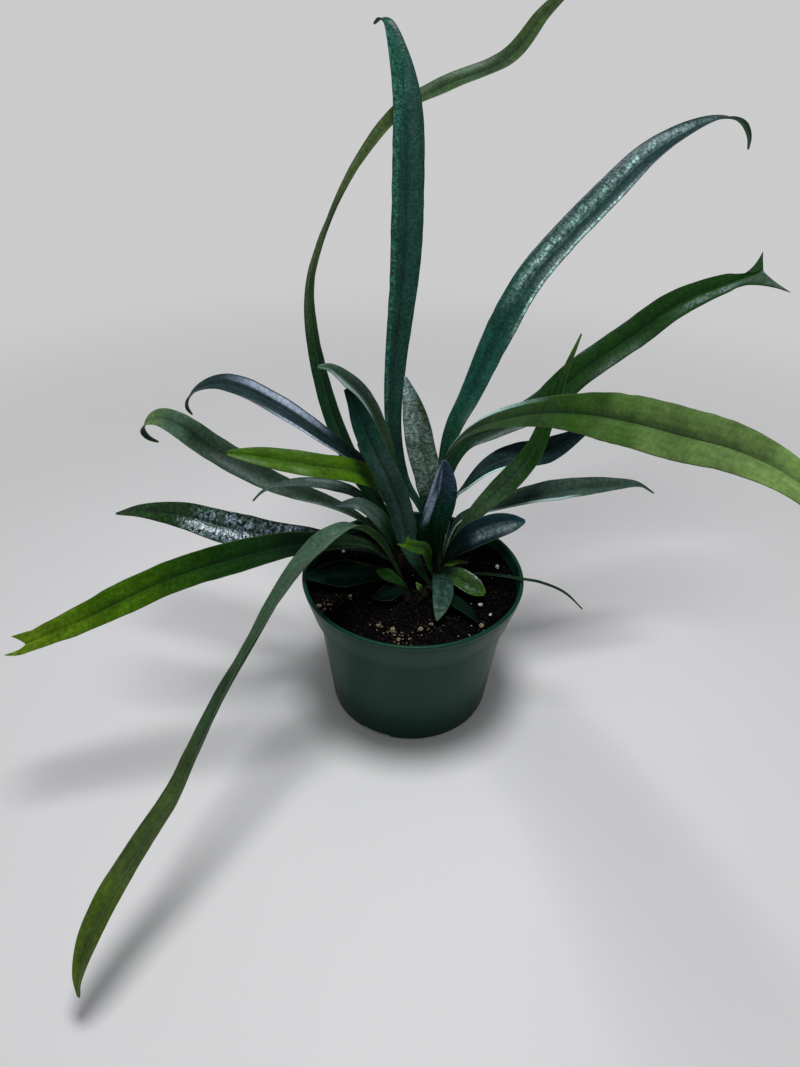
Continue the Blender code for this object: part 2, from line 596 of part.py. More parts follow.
def main():
    clear_scene()
    plant = new_collection("potted_blue_oil_fern")
    cutters = new_collection("cutters", hidden=True)
    make_pot(plant, cutters)
    soil = make_soil(plant)
    for name, path in RHIZOMES.items():
        make_rhizome(name, path, soil, plant, cutters)
    for name, plan in FRONDS.items():
        make_frond(name, plan, plant)
    for kind, plan in GRAINS.items():
        for index, place in enumerate(plan["places"], 1):
            make_grain(f"{kind}_{index}", place, plan["colour"], plant, plan["seed"] + index)


main()
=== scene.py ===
import random
from math import cos, exp, hypot, pi, radians, sin, sqrt

import bmesh
import bpy
from mathutils import Matrix, Vector, noise


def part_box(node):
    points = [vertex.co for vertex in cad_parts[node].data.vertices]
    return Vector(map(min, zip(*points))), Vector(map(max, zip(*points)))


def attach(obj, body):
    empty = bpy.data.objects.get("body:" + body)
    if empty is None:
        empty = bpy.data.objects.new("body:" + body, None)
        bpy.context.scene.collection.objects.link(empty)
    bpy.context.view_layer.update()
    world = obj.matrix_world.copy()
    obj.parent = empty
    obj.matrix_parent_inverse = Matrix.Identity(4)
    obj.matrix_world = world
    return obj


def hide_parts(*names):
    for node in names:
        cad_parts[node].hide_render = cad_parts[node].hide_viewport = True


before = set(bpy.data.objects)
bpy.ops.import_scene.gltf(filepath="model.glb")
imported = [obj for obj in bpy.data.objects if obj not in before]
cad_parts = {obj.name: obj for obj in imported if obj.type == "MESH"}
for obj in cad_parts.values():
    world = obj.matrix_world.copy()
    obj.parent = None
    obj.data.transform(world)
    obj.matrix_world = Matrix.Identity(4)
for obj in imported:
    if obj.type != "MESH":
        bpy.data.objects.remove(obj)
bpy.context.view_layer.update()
mm = 0.001
print("frame loaded,", len(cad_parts), "nodes")

scene = bpy.context.scene
scene.view_settings.view_transform = "Standard"


# ---- small helpers for meshes ----

def smoothStep(low, high, value):
    share = min(1, max(0, (value - low) / (high - low)))
    return share * share * (3 - 2 * share)


def mixed(first, second, share):
    return first + (second - first) * share


def wander(x, y=0.0, z=0.0):
    # smooth noise from -1 to 1
    return noise.noise(Vector((x, y, z)))


def newPiece(name, shape, skins, smooth=True):
    mesh = bpy.data.meshes.new(name)
    shape.to_mesh(mesh)
    shape.free()
    if smooth:
        mesh.shade_smooth()
    for skin in skins:
        mesh.materials.append(skin)
    piece = bpy.data.objects.new(name, mesh)
    scene.collection.objects.link(piece)
    return piece


def finishPiece(piece, like, *nodes):
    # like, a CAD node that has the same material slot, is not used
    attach(piece, "root")
    if nodes:
        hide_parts(*nodes)


def smoothLine(points, pieces):
    ends = [points[0] * 2 - points[1]] + points + [points[-1] * 2 - points[-2]]
    line = [points[0]]
    for before, start, end, after in zip(ends, ends[1:], ends[2:], ends[3:]):
        for step in range(1, pieces + 1):
            t = step / pieces
            line.append(0.5 * (2 * start + (end - before) * t
                               + (2 * before - 5 * start + 4 * end - after) * t ** 2
                               + (3 * start - before - 3 * end + after) * t ** 3))
    return line


def directions(line):
    # how far along it each point of a line is, the point, and the line's direction there
    last = len(line) - 1
    for index, place in enumerate(line):
        yield index / last, place, (line[min(last, index + 1)] - line[max(0, index - 1)]).normalized()


def evenLine(points, step):
    # the same curve with points at even distances, and its length
    dense = smoothLine(points, 16)
    along = [0]
    for start, end in zip(dense, dense[1:]):
        along.append(along[-1] + (end - start).length)
    count = max(12, round(along[-1] / step))
    line = []
    index = 0
    for number in range(count + 1):
        target = along[-1] * number / count
        while index < len(along) - 2 and along[index + 1] < target:
            index += 1
        share = (target - along[index]) / (along[index + 1] - along[index])
        line.append(dense[index].lerp(dense[index + 1], min(1, share)))
    return line, along[-1]


def addCircle(shape, radius, height, steps):
    turns = [2 * pi * i / steps for i in range(steps)]
    return [shape.verts.new(Vector((radius * cos(a), radius * sin(a), height)) * mm) for a in turns]


def bridge(shape, rings, capped=False):
    # faces between closed rings of points; a ring of one point closes the shape there
    for lower, upper in zip(rings, rings[1:]):
        count = max(len(lower), len(upper))
        for i in range(count):
            j = (i + 1) % count
            below = [lower[i % len(lower)], lower[j % len(lower)]]
            above = [upper[j % len(upper)], upper[i % len(upper)]]
            shape.faces.new(list(dict.fromkeys(below + above)))
    if capped:
        shape.faces.new(list(reversed(rings[0])))
        shape.faces.new(rings[-1])


def addThread(shape, stops, angles):
    # a thin tube through the stops, each a centre, its sideways direction and its radius
    up = Vector((0, 0, 1))
    bridge(shape, [[shape.verts.new((centre + (aside * cos(a) + up * sin(a)) * radius) * mm)
                    for a in angles] for centre, aside, radius in stops], True)


def outward(shape):
    bmesh.ops.recalc_face_normals(shape, faces=shape.faces)
    return shape


# ---- small helpers for materials ----
# each takes sockets, finds their node tree itself, and gives back the new node's output

def newSkin(name):
    skin = bpy.data.materials.new(name)
    skin.use_nodes = True
    tree = skin.node_tree
    return skin, tree, tree.nodes["Principled BSDF"]


def plug(node, inputs):
    for key, value in inputs.items():
        if isinstance(value, bpy.types.NodeSocket):
            node.id_data.links.new(value, node.inputs[key])
        else:
            node.inputs[key].default_value = value


def addNode(tree, kind, inputs=None, **settings):
    made = tree.nodes.new("ShaderNode" + kind)
    for key, value in settings.items():
        setattr(made, key, value)
    plug(made, inputs or {})
    return made


def sums(operation, first, second=0.0):
    return addNode(first.id_data, "Math", {0: first, 1: second}, operation=operation).outputs[0]


def times(first, second):
    return sums("MULTIPLY", first, second)


def remap(value, low, high, newLow=0.0, newHigh=1.0, soft=False):
    made = addNode(value.id_data, "MapRange", {"Value": value, "From Min": low, "From Max": high,
                                               "To Min": newLow, "To Max": newHigh})
    made.interpolation_type = "SMOOTHSTEP" if soft else "LINEAR"
    return made.outputs[0]


def blend(share, first, second, mode="MIX"):
    inputs = {0: share}
    for key, colour in ((6, first), (7, second)):
        inputs[key] = colour if isinstance(colour, bpy.types.NodeSocket) else (*colour, 1)
    tree = next(value.id_data for value in inputs.values() if isinstance(value, bpy.types.NodeSocket))
    return addNode(tree, "Mix", inputs, data_type="RGBA", blend_type=mode).outputs[2]


def cloud(place, scale, detail=2.0, roughness=0.5, distortion=0.0):
    return addNode(place.id_data, "TexNoise", {"Vector": place, "Scale": scale, "Detail": detail,
                                               "Roughness": roughness, "Distortion": distortion}).outputs[0]


def cells(place, scale):
    return addNode(place.id_data, "TexVoronoi", {"Vector": place, "Scale": scale}).outputs["Distance"]


def channels(place):
    return addNode(place.id_data, "SeparateXYZ", {0: place}).outputs


def stretched(place, sizes):
    return addNode(place.id_data, "Mapping", {"Vector": place, "Scale": sizes}).outputs[0]


def ramp(share, stops):
    made = addNode(share.id_data, "ValToRGB", {0: share})
    elements = made.color_ramp.elements
    elements[0].position, elements[0].color = stops[0][0], (*stops[0][1], 1)
    elements[1].position, elements[1].color = stops[-1][0], (*stops[-1][1], 1)
    for position, colour in stops[1:-1]:
        elements.new(position).color = (*colour, 1)
    return made.outputs[0]


def bumped(height, distance, normal=None):
    inputs = {"Height": height, "Distance": distance}
    if normal:
        inputs["Normal"] = normal
    return addNode(height.id_data, "Bump", inputs).outputs[0]


def objectPlace(tree):
    return addNode(tree, "TexCoord").outputs["Object"]


def grainySkin(name, stops, scale, sharpness, loose, rough, shine, depth, pits=False, flecks=None):
    # colours by a fine noise; loose is how much darker single pieces can be
    skin, tree, shader = newSkin(name)
    place = objectPlace(tree)
    grain = cloud(place, scale, 4, sharpness)
    island = addNode(tree, "NewGeometry").outputs["Random Per Island"]
    colour = blend(remap(island, 0, 1, 0, loose), ramp(grain, stops), stops[0][1])
    if flecks:
        colour = blend(remap(cells(place, 650), 0.1, 0.04, 0, 0.5, True), colour, flecks)
    height = sums("ADD", cells(place, 1600), grain) if pits else grain
    plug(shader, {"Base Color": colour, "Roughness": rough, "Specular IOR Level": shine,
                        "Normal": bumped(height, depth)})
    return skin


# ---- fronds ----

# the pale blue, aqua, bright teal and lavender entries are colours for painted highlights
greens = dict(
    ink=(0.001, 0.005, 0.003), shade=(0.003, 0.012, 0.007), tealDark=(0.009, 0.041, 0.030),
    teal=(0.006, 0.052, 0.035), tealGrey=(0.020, 0.056, 0.042), bottle=(0.005, 0.028, 0.009),
    forest=(0.008, 0.038, 0.004), leaf=(0.026, 0.080, 0.008), moss=(0.028, 0.060, 0.024),
    olive=(0.052, 0.082, 0.020), lime=(0.045, 0.115, 0.004), limeTip=(0.095, 0.170, 0.008),
    limePale=(0.200, 0.340, 0.090), sage=(0.052, 0.104, 0.062), blueDark=(0.003, 0.015, 0.020),
    blue=(0.008, 0.040, 0.056), blueGrey=(0.030, 0.066, 0.110), slate=(0.014, 0.032, 0.035),
    grey=(0.034, 0.064, 0.048), silver=(0.140, 0.230, 0.215), paleGlint=(0.460, 0.600, 0.620),
    aqua=(0.580, 0.920, 0.870), tealBright=(0.050, 0.210, 0.150), lavender=(0.620, 0.740, 1.000),
    fern=(0.125, 0.215, 0.060),
)

# where a blade leaves its stalk, is full, starts to taper, how bluntly, and how wide it ends
bladeShapes = dict(
    even=(0.02, 0.3, 0.85, 2, 0.06), ribbon=(0.02, 0.6, 0.7, 2.6, 0.05), sword=(0.02, 0.4, 0.65, 1.9, 0.05),
    strap=(0.1, 0.6, 0.7, 2.6, 0.05), paddle=(0.2, 0.6, 0.66, 1.8, 0.05), lance=(0.05, 0.55, 0.55, 1.8, 0.05),
    late=(0.28, 0.66, 0.66, 1.8, 0.05), oval=(0.05, 0.45, 0.55, 2.2, 0.06), full=(0.05, 0.4, 0.62, 2.2, 0.06),
    leafy=(0.02, 0.35, 0.5, 2.8, 0.14), blunt=(0.05, 0.5, 0.7, 2.4, 0.2), rounded=(0.04, 0.5, 0.6, 2.8, 0.1),
    slender=(0.05, 0.4, 0.45, 1.1, 0.05), spoon=(0.1, 0.65, 0.7, 2.4, 0.1), winged=(0, 0.3, 0.72, 2.2, 0.15),
    hooded=(0.15, 0.74, 0.8, 2, 0.15), footed=(0.02, 0.12, 0.8, 2, 0.06), necked=(0.04, 0.5, 0.75, 1.5, 0.36),
    forking=(0.05, 0.45, 0.8, 1.5, 0.8), wideFork=(0.04, 0.5, 0.75, 1.5, 0.6),
)

# every length in millimetres; fold and roll in degrees, roll either one value or five along the blade
# line is the spine, whose first point is the foot on the rhizome; colours run from stalk to tip
# gloss is roughness; crinkle, wave, grain and specks are 0 to 1; fork is the reach and spread of each lobe
# rib is the midrib's tone against the blade: below 0 darker, above 0 paler
# the painted highlight lies in bands, each with its middle and half width across the blade, start and end
# along it, and strength; its colour is one of the greens
# what a frond has unless its own dictionary says otherwise
usualFrond = dict(
    fold=14, roll=0, shape="lance", fork=None, notchShift=0, gloss=0.4, crinkle=0.3, wave=0.3, rib=-0.2,
    wrinkle=4.2, specks=0.2, dustAndGlint="paleGlint", glintBands=(),
)

frondPlans = {
    "tall_centre": dict(
        width=23, shape="ribbon", gloss=0.34, crinkle=0.5, wave=0.5, rib=-0.5, grain=0.9, wrinkle=5,
        specks=0.3, dustAndGlint="tealBright", colours="bottle tealDark tealDark tealDark teal",
        glintBands=[(0.8, 0.2, 0.12, 0.95, 0.8), (0.3, 0.5, 0.8, 0.97, 0.6)],
        line=[(15.5, 31), (11, 28.5, 125), (3, 31, 142), (-8, 42, 157), (-15.5, 54, 190), (-15, 73, 226),
              (-10, 98, 282), (-9, 124, 336), (-11, 146, 379), (-21, 164, 413.5), (-28, 170, 419.5),
              (-33, 173, 416)]),
    "long_back": dict(
        width=14, fold=20, roll=(-60, -20, 38, -25, 0), shape="footed", crinkle=0.35, wave=0.4, rib=0.2,
        colours="bottle bottle olive moss olive", glintBands=[(0.6, 0.2, 0.35, 0.6, 0.08)],
        line=[(-4.5, 37), (-33, 50, 143), (-51, 64, 171), (-66, 87, 206), (-75, 112, 248), (-71, 128, 281),
              (-53, 142, 322), (-20, 155, 365), (13, 163, 383), (54, 168, 399), (76, 171, 424),
              (93, 172, 438), (108, 173, 441), (118, 174, 434)]),
    "glossy_right": dict(
        width=22, fold=16, roll=(-30, -35, -35, -25, 15), shape="sword", gloss=0.31, crinkle=0.5, wave=0.4,
        rib=-0.4, grain=0.7, dustAndGlint="aqua", colours="bottle teal tealDark slate slate",
        glintBands=[(0.3, 0.15, 0.48, 0.82, 1.0), (0.3, 0.36, 0.46, 0.9, 0.4), (-0.86, 0.1, 0.42, 0.72, 1.0)],
        line=[(17.4, 34), (19, 47, 146), (25, 65, 178), (39, 85, 201), (57, 108, 235), (77, 128, 267),
              (102, 145, 293), (129, 158, 318), (157, 169, 344), (184, 174, 360), (206, 179, 366),
              (221, 182, 363), (229, 184, 354), (231, 185, 345)]),
    "forked_right": dict(
        width=22, fold=16, roll=(-20, -35, -38, -40, -40), shape="necked", fork=((14.5, 14), (0.5, 16)),
        notchShift=3.5, gloss=0.33, wave=0.6, rib=-0.6, grain=0.6,
        colours="bottle bottle forest forest forest", glintBands=[(-0.5, 0.25, 0.84, 0.98, 0.4)],
        line=[(20, 28.5), (21.5, 39, 150), (32, 50, 177), (54, 58, 187), (86, 68, 200), (111, 76, 222),
              (145, 84, 246), (169, 86, 266), (194, 80, 282), (215.5, 70.5, 291.5)]),
    "broad_right": dict(
        width=25, roll=(0, -55, -60, -60, -50), shape="paddle", crinkle=0.05, wave=0.8, rib=-0.8, grain=0.3,
        specks=0.6, dustAndGlint="aqua", colours="grey moss leaf fern limePale",
        glintBands=[(0.88, 0.16, 0.06, 0.42, 1.0), (-0.3, 0.5, 0.08, 0.3, 0.1)],
        line=[(17, 22), (17, 18, 150), (18, 9, 187), (26, -3, 211), (40, -21, 232), (61, -42, 249),
              (80, -71, 264), (95, -107, 278), (106, -142, 290), (115, -175, 301.5), (123, -206, 307),
              (131, -227, 302), (135, -240, 291)]),
    "pale_right": dict(
        width=17, roll=(-20, -25, -25, -20, -20), shape="slender", gloss=0.42, wave=0.4, rib=0.2, grain=0.6,
        specks=0.8, colours="moss moss forest forest lime", glintBands=[(0.2, 0.5, 0.38, 0.5, 0.06)],
        line=[(20, 12.3), (30, 13, 127), (44, 18, 147), (64, 26, 166), (79, 34, 184), (89, 44, 211),
              (97, 54, 234), (105, 62, 255)]),
    "dark_right": dict(
        width=25, fold=16, roll=(0, 0, -20, -20, -10), shape="late", gloss=0.5, crinkle=0.4, rib=0.3,
        grain=0, dustAndGlint="aqua", colours="ink shade slate slate slate", glintBands=[(-0.9, 0.11, 0.05, 0.62, 1.0)],
        line=[(20.8, 23.5), (27, 27, 146), (35, 33, 155), (49, 42, 165), (66, 52, 168), (90, 65, 165),
              (112, 77, 170), (130, 85, 178)]),
    "low_right": dict(
        width=19, fold=18, roll=(-20, -20, -20, -20, 0), gloss=0.45, crinkle=0.4, rib=-0.15, grain=0.1,
        colours="shade grey grey grey grey", glintBands=[(-0.88, 0.14, 0.05, 0.62, 1.0)],
        line=[(20.8, 18), (29, 26, 129), (42, 31, 136), (62, 33, 143), (86, 37, 148), (114, 44, 149),
              (142, 50, 149), (160, 54, 147), (174, 57, 138)]),
    "short_right": dict(
        width=20, fold=16, roll=(-30, -35, -35, -35, -35), shape="rounded", gloss=0.36, crinkle=0.4,
        rib=-0.6, grain=0.5, colours="ink ink blueDark blueDark blue", glintBands=[(-0.2, 0.4, 0.5, 0.92, 0.4)],
        line=[(19.3, 7.5), (26, 6, 119), (38, 4, 133), (51, 4, 141), (63, 4, 145), (74, 6, 146)]),
    "short_centre": dict(
        width=24, fold=24, roll=165, shape="leafy", gloss=0.24, crinkle=0.8, rib=-0.5, grain=0.35, wrinkle=5,
        dustAndGlint="lavender", colours="bottle bottle teal blueGrey blueGrey", glintBands=[(0.5, 0.25, 0.46, 0.72, 1.0),
               (0.82, 0.15, 0.58, 0.97, 0.9), (0.15, 0.12, 0.7, 0.9, 0.6)],
        line=[(16.6, 9.5), (12.5, 7.5, 118), (10.8, 5.5, 132), (12.6, 3.5, 147), (15.5, 1, 162),
              (17, -2, 177), (16.8, -6, 198)]),
    "mottled_centre": dict(
        width=20, fold=12, roll=50, shape="full", gloss=0.24, crinkle=1.0, grain=0.65, wrinkle=5,
        colours="bottle bottle forest moss silver", glintBands=[(0.3, 0.75, 0.64, 1.0, 1.0),
               (0.1, 1.1, 0.36, 0.74, 0.5), (0, 1.1, 0.1, 0.42, 0.18)],
        line=[(13.5, 40), (13, 37, 125), (12.2, 35.2, 142), (9.4, 38.5, 160), (4, 44.5, 177), (-1, 50, 200),
              (-8, 57, 225)]),
    "broad_left": dict(
        width=17, roll=(20, 45, 45, 40, 40), shape="winged", gloss=0.5, crinkle=0.25, rib=-0.3,
        # the dark last colour is painted shadow, where the hooked frond hangs over the tip
        colours="bottle tealGrey tealGrey tealDark ink", glintBands=[(-0.2, 0.7, 0.2, 0.7, 0.06)],
        line=[(11.5, -10.2), (5.5, -6.5, 112), (0.5, -1, 118.5), (-4.2, 5, 129), (-8.4, 8, 147.5),
              (-12.8, 9, 161.5), (-18.2, 9, 176), (-26.2, 11, 193), (-35, 16, 212.5), (-39.8, 19, 223.5),
              (-45.2, 23, 231)]),
    "hooked_left": dict(
        width=13, fold=12, roll=(60, 60, 60, 45, 30), shape="hooded", gloss=0.35, wave=0.2, rib=0.2,
        grain=0.1, colours="bottle bottle moss grey sage", glintBands=[(0.7, 0.3, 0.66, 0.95, 0.7)],
        line=[(-2.5, 32), (-11, 32, 152), (-17, 33, 179), (-23, 36, 195.5), (-28.5, 36, 209.5),
              (-36, 33, 223.5), (-47, 26, 238), (-55, 22, 245.5), (-62, 21, 246)]),
    "short_back": dict(
        width=10, fold=12, roll=20, gloss=0.38, crinkle=0.2, wave=0.2,
        colours="bottle bottle grey slate slate",
        line=[(0, 41), (-13, 47, 124), (-27, 56, 146), (-41, 68, 168)]),
    "slate_left": dict(
        width=16, roll=(25, 28, 28, 25, 0), shape="strap", gloss=0.36, grain=0.3, dustAndGlint="lavender",
        colours="shade shade slate slate grey", glintBands=[(-0.6, 0.25, 0.5, 0.76, 0.6),
               (0.88, 0.12, 0.42, 0.62, 0.8)],
        line=[(-10, 24.5), (-16, 25, 140), (-27, 26, 168), (-42, 23, 184), (-59, 23, 197), (-75, 27, 207),
              (-92, 33, 215), (-110, 39, 222), (-126, 44, 224), (-140, 48, 220), (-151, 52, 211),
              (-155, 54, 201), (-152, 54, 195)]),
    "curled_left": dict(
        width=19.5, roll=(20, 30, 42, 42, 0), shape="strap", gloss=0.42, wave=0.4, rib=-0.15, grain=0.3,
        specks=0.4, colours="sage sage sage sage limePale", glintBands=[(0.3, 0.5, 0.4, 0.65, 0.3),
               (0.85, 0.15, 0.2, 0.4, 0.5)],
        line=[(-12, 21), (-24, 15, 128), (-40, 17, 141), (-60, 24, 147), (-84, 34, 149), (-103, 40, 154),
              (-123, 47, 162), (-144, 54, 172), (-161, 58, 183), (-174, 60, 189), (-185, 62, 187),
              (-191, 63, 179), (-188, 63, 172), (-181, 62, 169)]),
    "lime_left": dict(
        width=17, fold=10, roll=(10, 20, 40, 40, 40), shape="blunt", gloss=0.42, crinkle=0.15, rib=-0.15,
        colours="forest leaf lime lime lime",
        line=[(-7, 27), (-16, 22, 150), (-25, 18, 167), (-42, 8, 181), (-61, 1, 188), (-79, -1, 192),
              (-98, -4, 197), (-117, -6, 200)]),
    "narrow_left": dict(
        width=10, roll=(20, 20, 20, 20, 0), gloss=0.38, rib=-0.3, grain=0.3,
        colours="shade bottle grey grey sage", glintBands=[(0.2, 0.7, 0.4, 0.95, 0.15)],
        line=[(-12, 15), (-23, 11, 142), (-38, 11, 161), (-55, 12, 167), (-72, 12, 169), (-88, 12, 167),
              (-100, 12, 162), (-108, 11, 154)]),
    "grey_left": dict(
        width=14, fold=12, roll=(20, 30, 40, 40, 30), gloss=0.36, wave=0.2, rib=-0.4, grain=0.1,
        colours="shade bottle bottle grey slate", glintBands=[(0.2, 0.7, 0.6, 1.0, 0.08)],
        line=[(-10, 11), (-16, -2, 137), (-22, -6, 152), (-36, -5, 164), (-53, -4, 161)]),
    "glossy_left": dict(
        width=23, fold=16, roll=(20, 35, 48, 48, 40), gloss=0.2, crinkle=1.0, wave=0.4, rib=-0.4, grain=1,
        wrinkle=4.5, dustAndGlint="lavender", colours="ink shade bottle forest moss",
        glintBands=[(0.4, 0.5, 0.3, 0.74, 0.8), (-0.5, 0.35, 0.35, 0.7, 0.8)],
        line=[(-12, 8), (-27, 2, 121), (-46, -3, 131), (-69, -9, 139), (-97, -14, 144.5), (-122, -16, 151.5),
              (-148, -14, 158.5), (-174, -9, 158), (-195, -4, 152)]),
    "forked_left": dict(
        width=21, fold=16, roll=(10, 25, 35, 35, 30), shape="wideFork", fork=((6, 7.5), (12.5, 1.5)),
        gloss=0.5, wave=0.9, rib=-0.6, colours="moss ink forest lime limeTip",
        line=[(-10, 4), (-11, 3, 109), (-17, -4, 120), (-27, -12, 135), (-40, -23, 147), (-59, -40, 158.5),
              (-82, -52, 163), (-110, -61, 159.5), (-139, -68, 153), (-168, -76, 142), (-196, -84, 130),
              (-226, -95, 121)]),
    "long_front": dict(
        width=18, fold=20, roll=(0, -10, -45, -20, 0), shape="even", gloss=0.42, crinkle=0.2, wave=0.4,
        rib=0.8, grain=0.5, colours="tealGrey sage moss olive limeTip", glintBands=[(0.3, 0.6, 0.1, 0.4, 0.1)],
        line=[(-9, -1), (-18, -11, 132), (-27, -24, 154), (-37, -38, 170), (-48, -50, 173), (-62, -59, 164),
              (-76, -75, 151), (-90, -101, 136), (-104, -127, 120), (-115, -147, 103), (-127, -170, 84),
              (-141, -193, 71), (-152, -214, 61), (-160, -230, 48), (-165, -239, 33), (-166, -243, 20)]),
    "rim_left": dict(
        width=19, fold=8, roll=(20, 40, 45, 45, 40), gloss=0.54, crinkle=0.2, wave=0.2,
        # painted shade: near-black colours, as this leaf lies in the shade of the crown
        colours="ink shade ink ink tealDark",
        line=[(-10, -6), (-12, -6.5, 107), (-26, -8, 110), (-44, -9.5, 111), (-60, -10, 110),
              (-74.5, -12, 108)]),
    "spoon_left": dict(
        width=9, roll=30, shape="spoon", gloss=0.5, crinkle=0.2, wave=0.1, rib=-0.3,
        colours="bottle forest forest forest leaf",
        line=[(-4.6, -17), (-5.5, -18, 108), (-10, -18, 112), (-17, -17, 116), (-24.5, -16, 119)]),
    "shade_left": dict(
        width=12, fold=8, roll=(10, 20, 20, 20, 20), gloss=0.55, crinkle=0.1, wave=0.1,
        # painted shade: near-black colours, as this leaf lies in the shade of the crown
        colours="ink ink ink ink ink",
        line=[(-4, -22), (-6.5, -22.5, 106.5), (-12, -24, 107.5), (-20, -27, 107), (-27, -28, 106)]),
    "lime_forked": dict(
        width=9, roll=(0, 30, 50, 50, 50), shape="forking", fork=((0.5, 5.5), (5, 3)), crinkle=0.1, wave=0.2,
        colours="forest leaf leaf leaf lime",
        line=[(14.8, -3.4), (11, -4.5, 114), (9.5, -6, 125), (7, -7, 131), (2.7, -8, 132.6),
              (-2.2, -9, 134.8), (-5.7, -9, 136.7)]),
    "bud": dict(
        width=5, fold=24, roll=75, crinkle=0.1, wave=0.1, rib=0,
        colours="forest lime limeTip limePale limePale",
        line=[(5.5, -20.5), (4.5, -22, 109), (2, -22, 114)]),
    "hanging_front": dict(
        width=14, fold=10, shape="oval", gloss=0.48, crinkle=0.4, wave=0.2, grain=0.9,
        colours="ink shade tealDark tealGrey sage", glintBands=[(0, 0.9, 0.3, 1.0, 0.12)],
        line=[(13.6, -6.4), (17, -11, 113), (19, -19, 115), (19.5, -29, 112), (18, -38.5, 108.5),
              (15.2, -47.5, 103)]),
    "lime_folded": dict(
        width=16, fold=24, roll=-20, shape="blunt", gloss=0.25, crinkle=0.6, grain=0.95,
        colours="shade ink leaf leaf lime", glintBands=[(-0.3, 0.3, 0.65, 0.9, 0.5)],
        line=[(16.4, 1.2), (19.3, -2, 109.5), (27, -8, 110.5), (34, -13, 109.5), (41, -18, 107.5),
              (48, -22, 105)]),
    "lime_strip": dict(
        width=7, fold=10, shape="slender", crinkle=0.1, wave=0.1, rib=0,
        colours="forest lime lime lime lime",
        line=[(18.7, 2.8), (22, 2.8, 109), (29, 2.8, 112.5), (38, 2.8, 113)]),
    "thread_right": dict(
        width=3, fold=10, shape="even", crinkle=0.1, wave=0.1, rib=0,
        colours="shade bottle bottle bottle shade",
        line=[(16.8, -2), (19, -2.2, 105), (30, -2, 105.5), (47, -2, 107), (61, -5, 108), (75, -9, 108.5),
              (87, -11, 107.5), (103, -13, 101), (117, -15, 88)]),
    "shade_right": dict(
        # painted shade: near-black colours, as this leaf lies in the shade of the crown
        width=10, fold=8, gloss=0.55, crinkle=0.1, wave=0.1, colours="ink shade shade shade ink",
        line=[(9.3, -14.6), (11.2, -16.8, 107), (16, -21, 107.5), (25, -28, 106), (34, -37, 105),
              (42, -47, 103)]),
}

frondBuild = dict(
    rootHeight=103.2,  # the stalk's foot is set into the rhizome
    step=2.6, shortestStep=0.7,
    columns=(0, 0.07, 0.2, 0.4, 0.62, 0.83, 1),
    stalkWidth=2.2, stalkTaper=0.6, stalkThickness=1.5, bladeThickness=0.5, edgeThickness=0.32,
    ribThickness=0.55, ribWidth=0.9, grooveDepth=0.45,
    arch=0.07,  # how far each half of a blade swells, as a share of its width
    waveHeight=1.3, waveLength=15, scallop=0.035, scallopLength=8,
    crinkleHeight=0.34, crinkleLength=4.5,
    fullWidth=18,  # narrower blades have smaller waves and grooves
    lobeRows=12, lobeLag=0.75, lobeLagLength=24, lobeBend=0.15, lobeReach=0.45, lobeTip=0.25,
    notchWidth=0.45, notchDepth=0.25,
)


def bladeShare(u, shape):
    stalk, full, taper, blunt, end = bladeShapes[shape]
    widen = min(1, max(0, (u - stalk) / (full - stalk))) ** 0.8
    return widen * (1 - (1 - end) * max(0, (u - taper) / (1 - taper)) ** blunt)


def atEvenSteps(values, u):
    if not isinstance(values, tuple):
        return values
    place = u * (len(values) - 1)
    step = min(int(place), len(values) - 2)
    return mixed(values[step], values[step + 1], place - step)


def frondFrames(plan):
    build = frondBuild
    points = [(*plan["line"][0], build["rootHeight"])] + plan["line"][1:]
    rough = [Vector(point) for point in points]
    length = sum((end - start).length for start, end in zip(rough, rough[1:]))
    step = max(build["shortestStep"], min(build["step"], length / 40))
    line, length = evenLine(rough, step)
    lean = line[-1] - line[0]
    across = Vector((-lean.y, lean.x, 0)).normalized()
    frames = []
    for u, place, along in directions(line):
        side = (across - along * across.dot(along)).normalized()
        face = along.cross(side)
        turn = radians(atEvenSteps(plan["roll"], u))
        frames.append((u, place, along, side * cos(turn) - face * sin(turn),
                       face * cos(turn) + side * sin(turn)))
    return frames, length


def quadratic(start, control, end, t):
    return start * (1 - t) ** 2 + control * 2 * t * (1 - t) + end * t ** 2


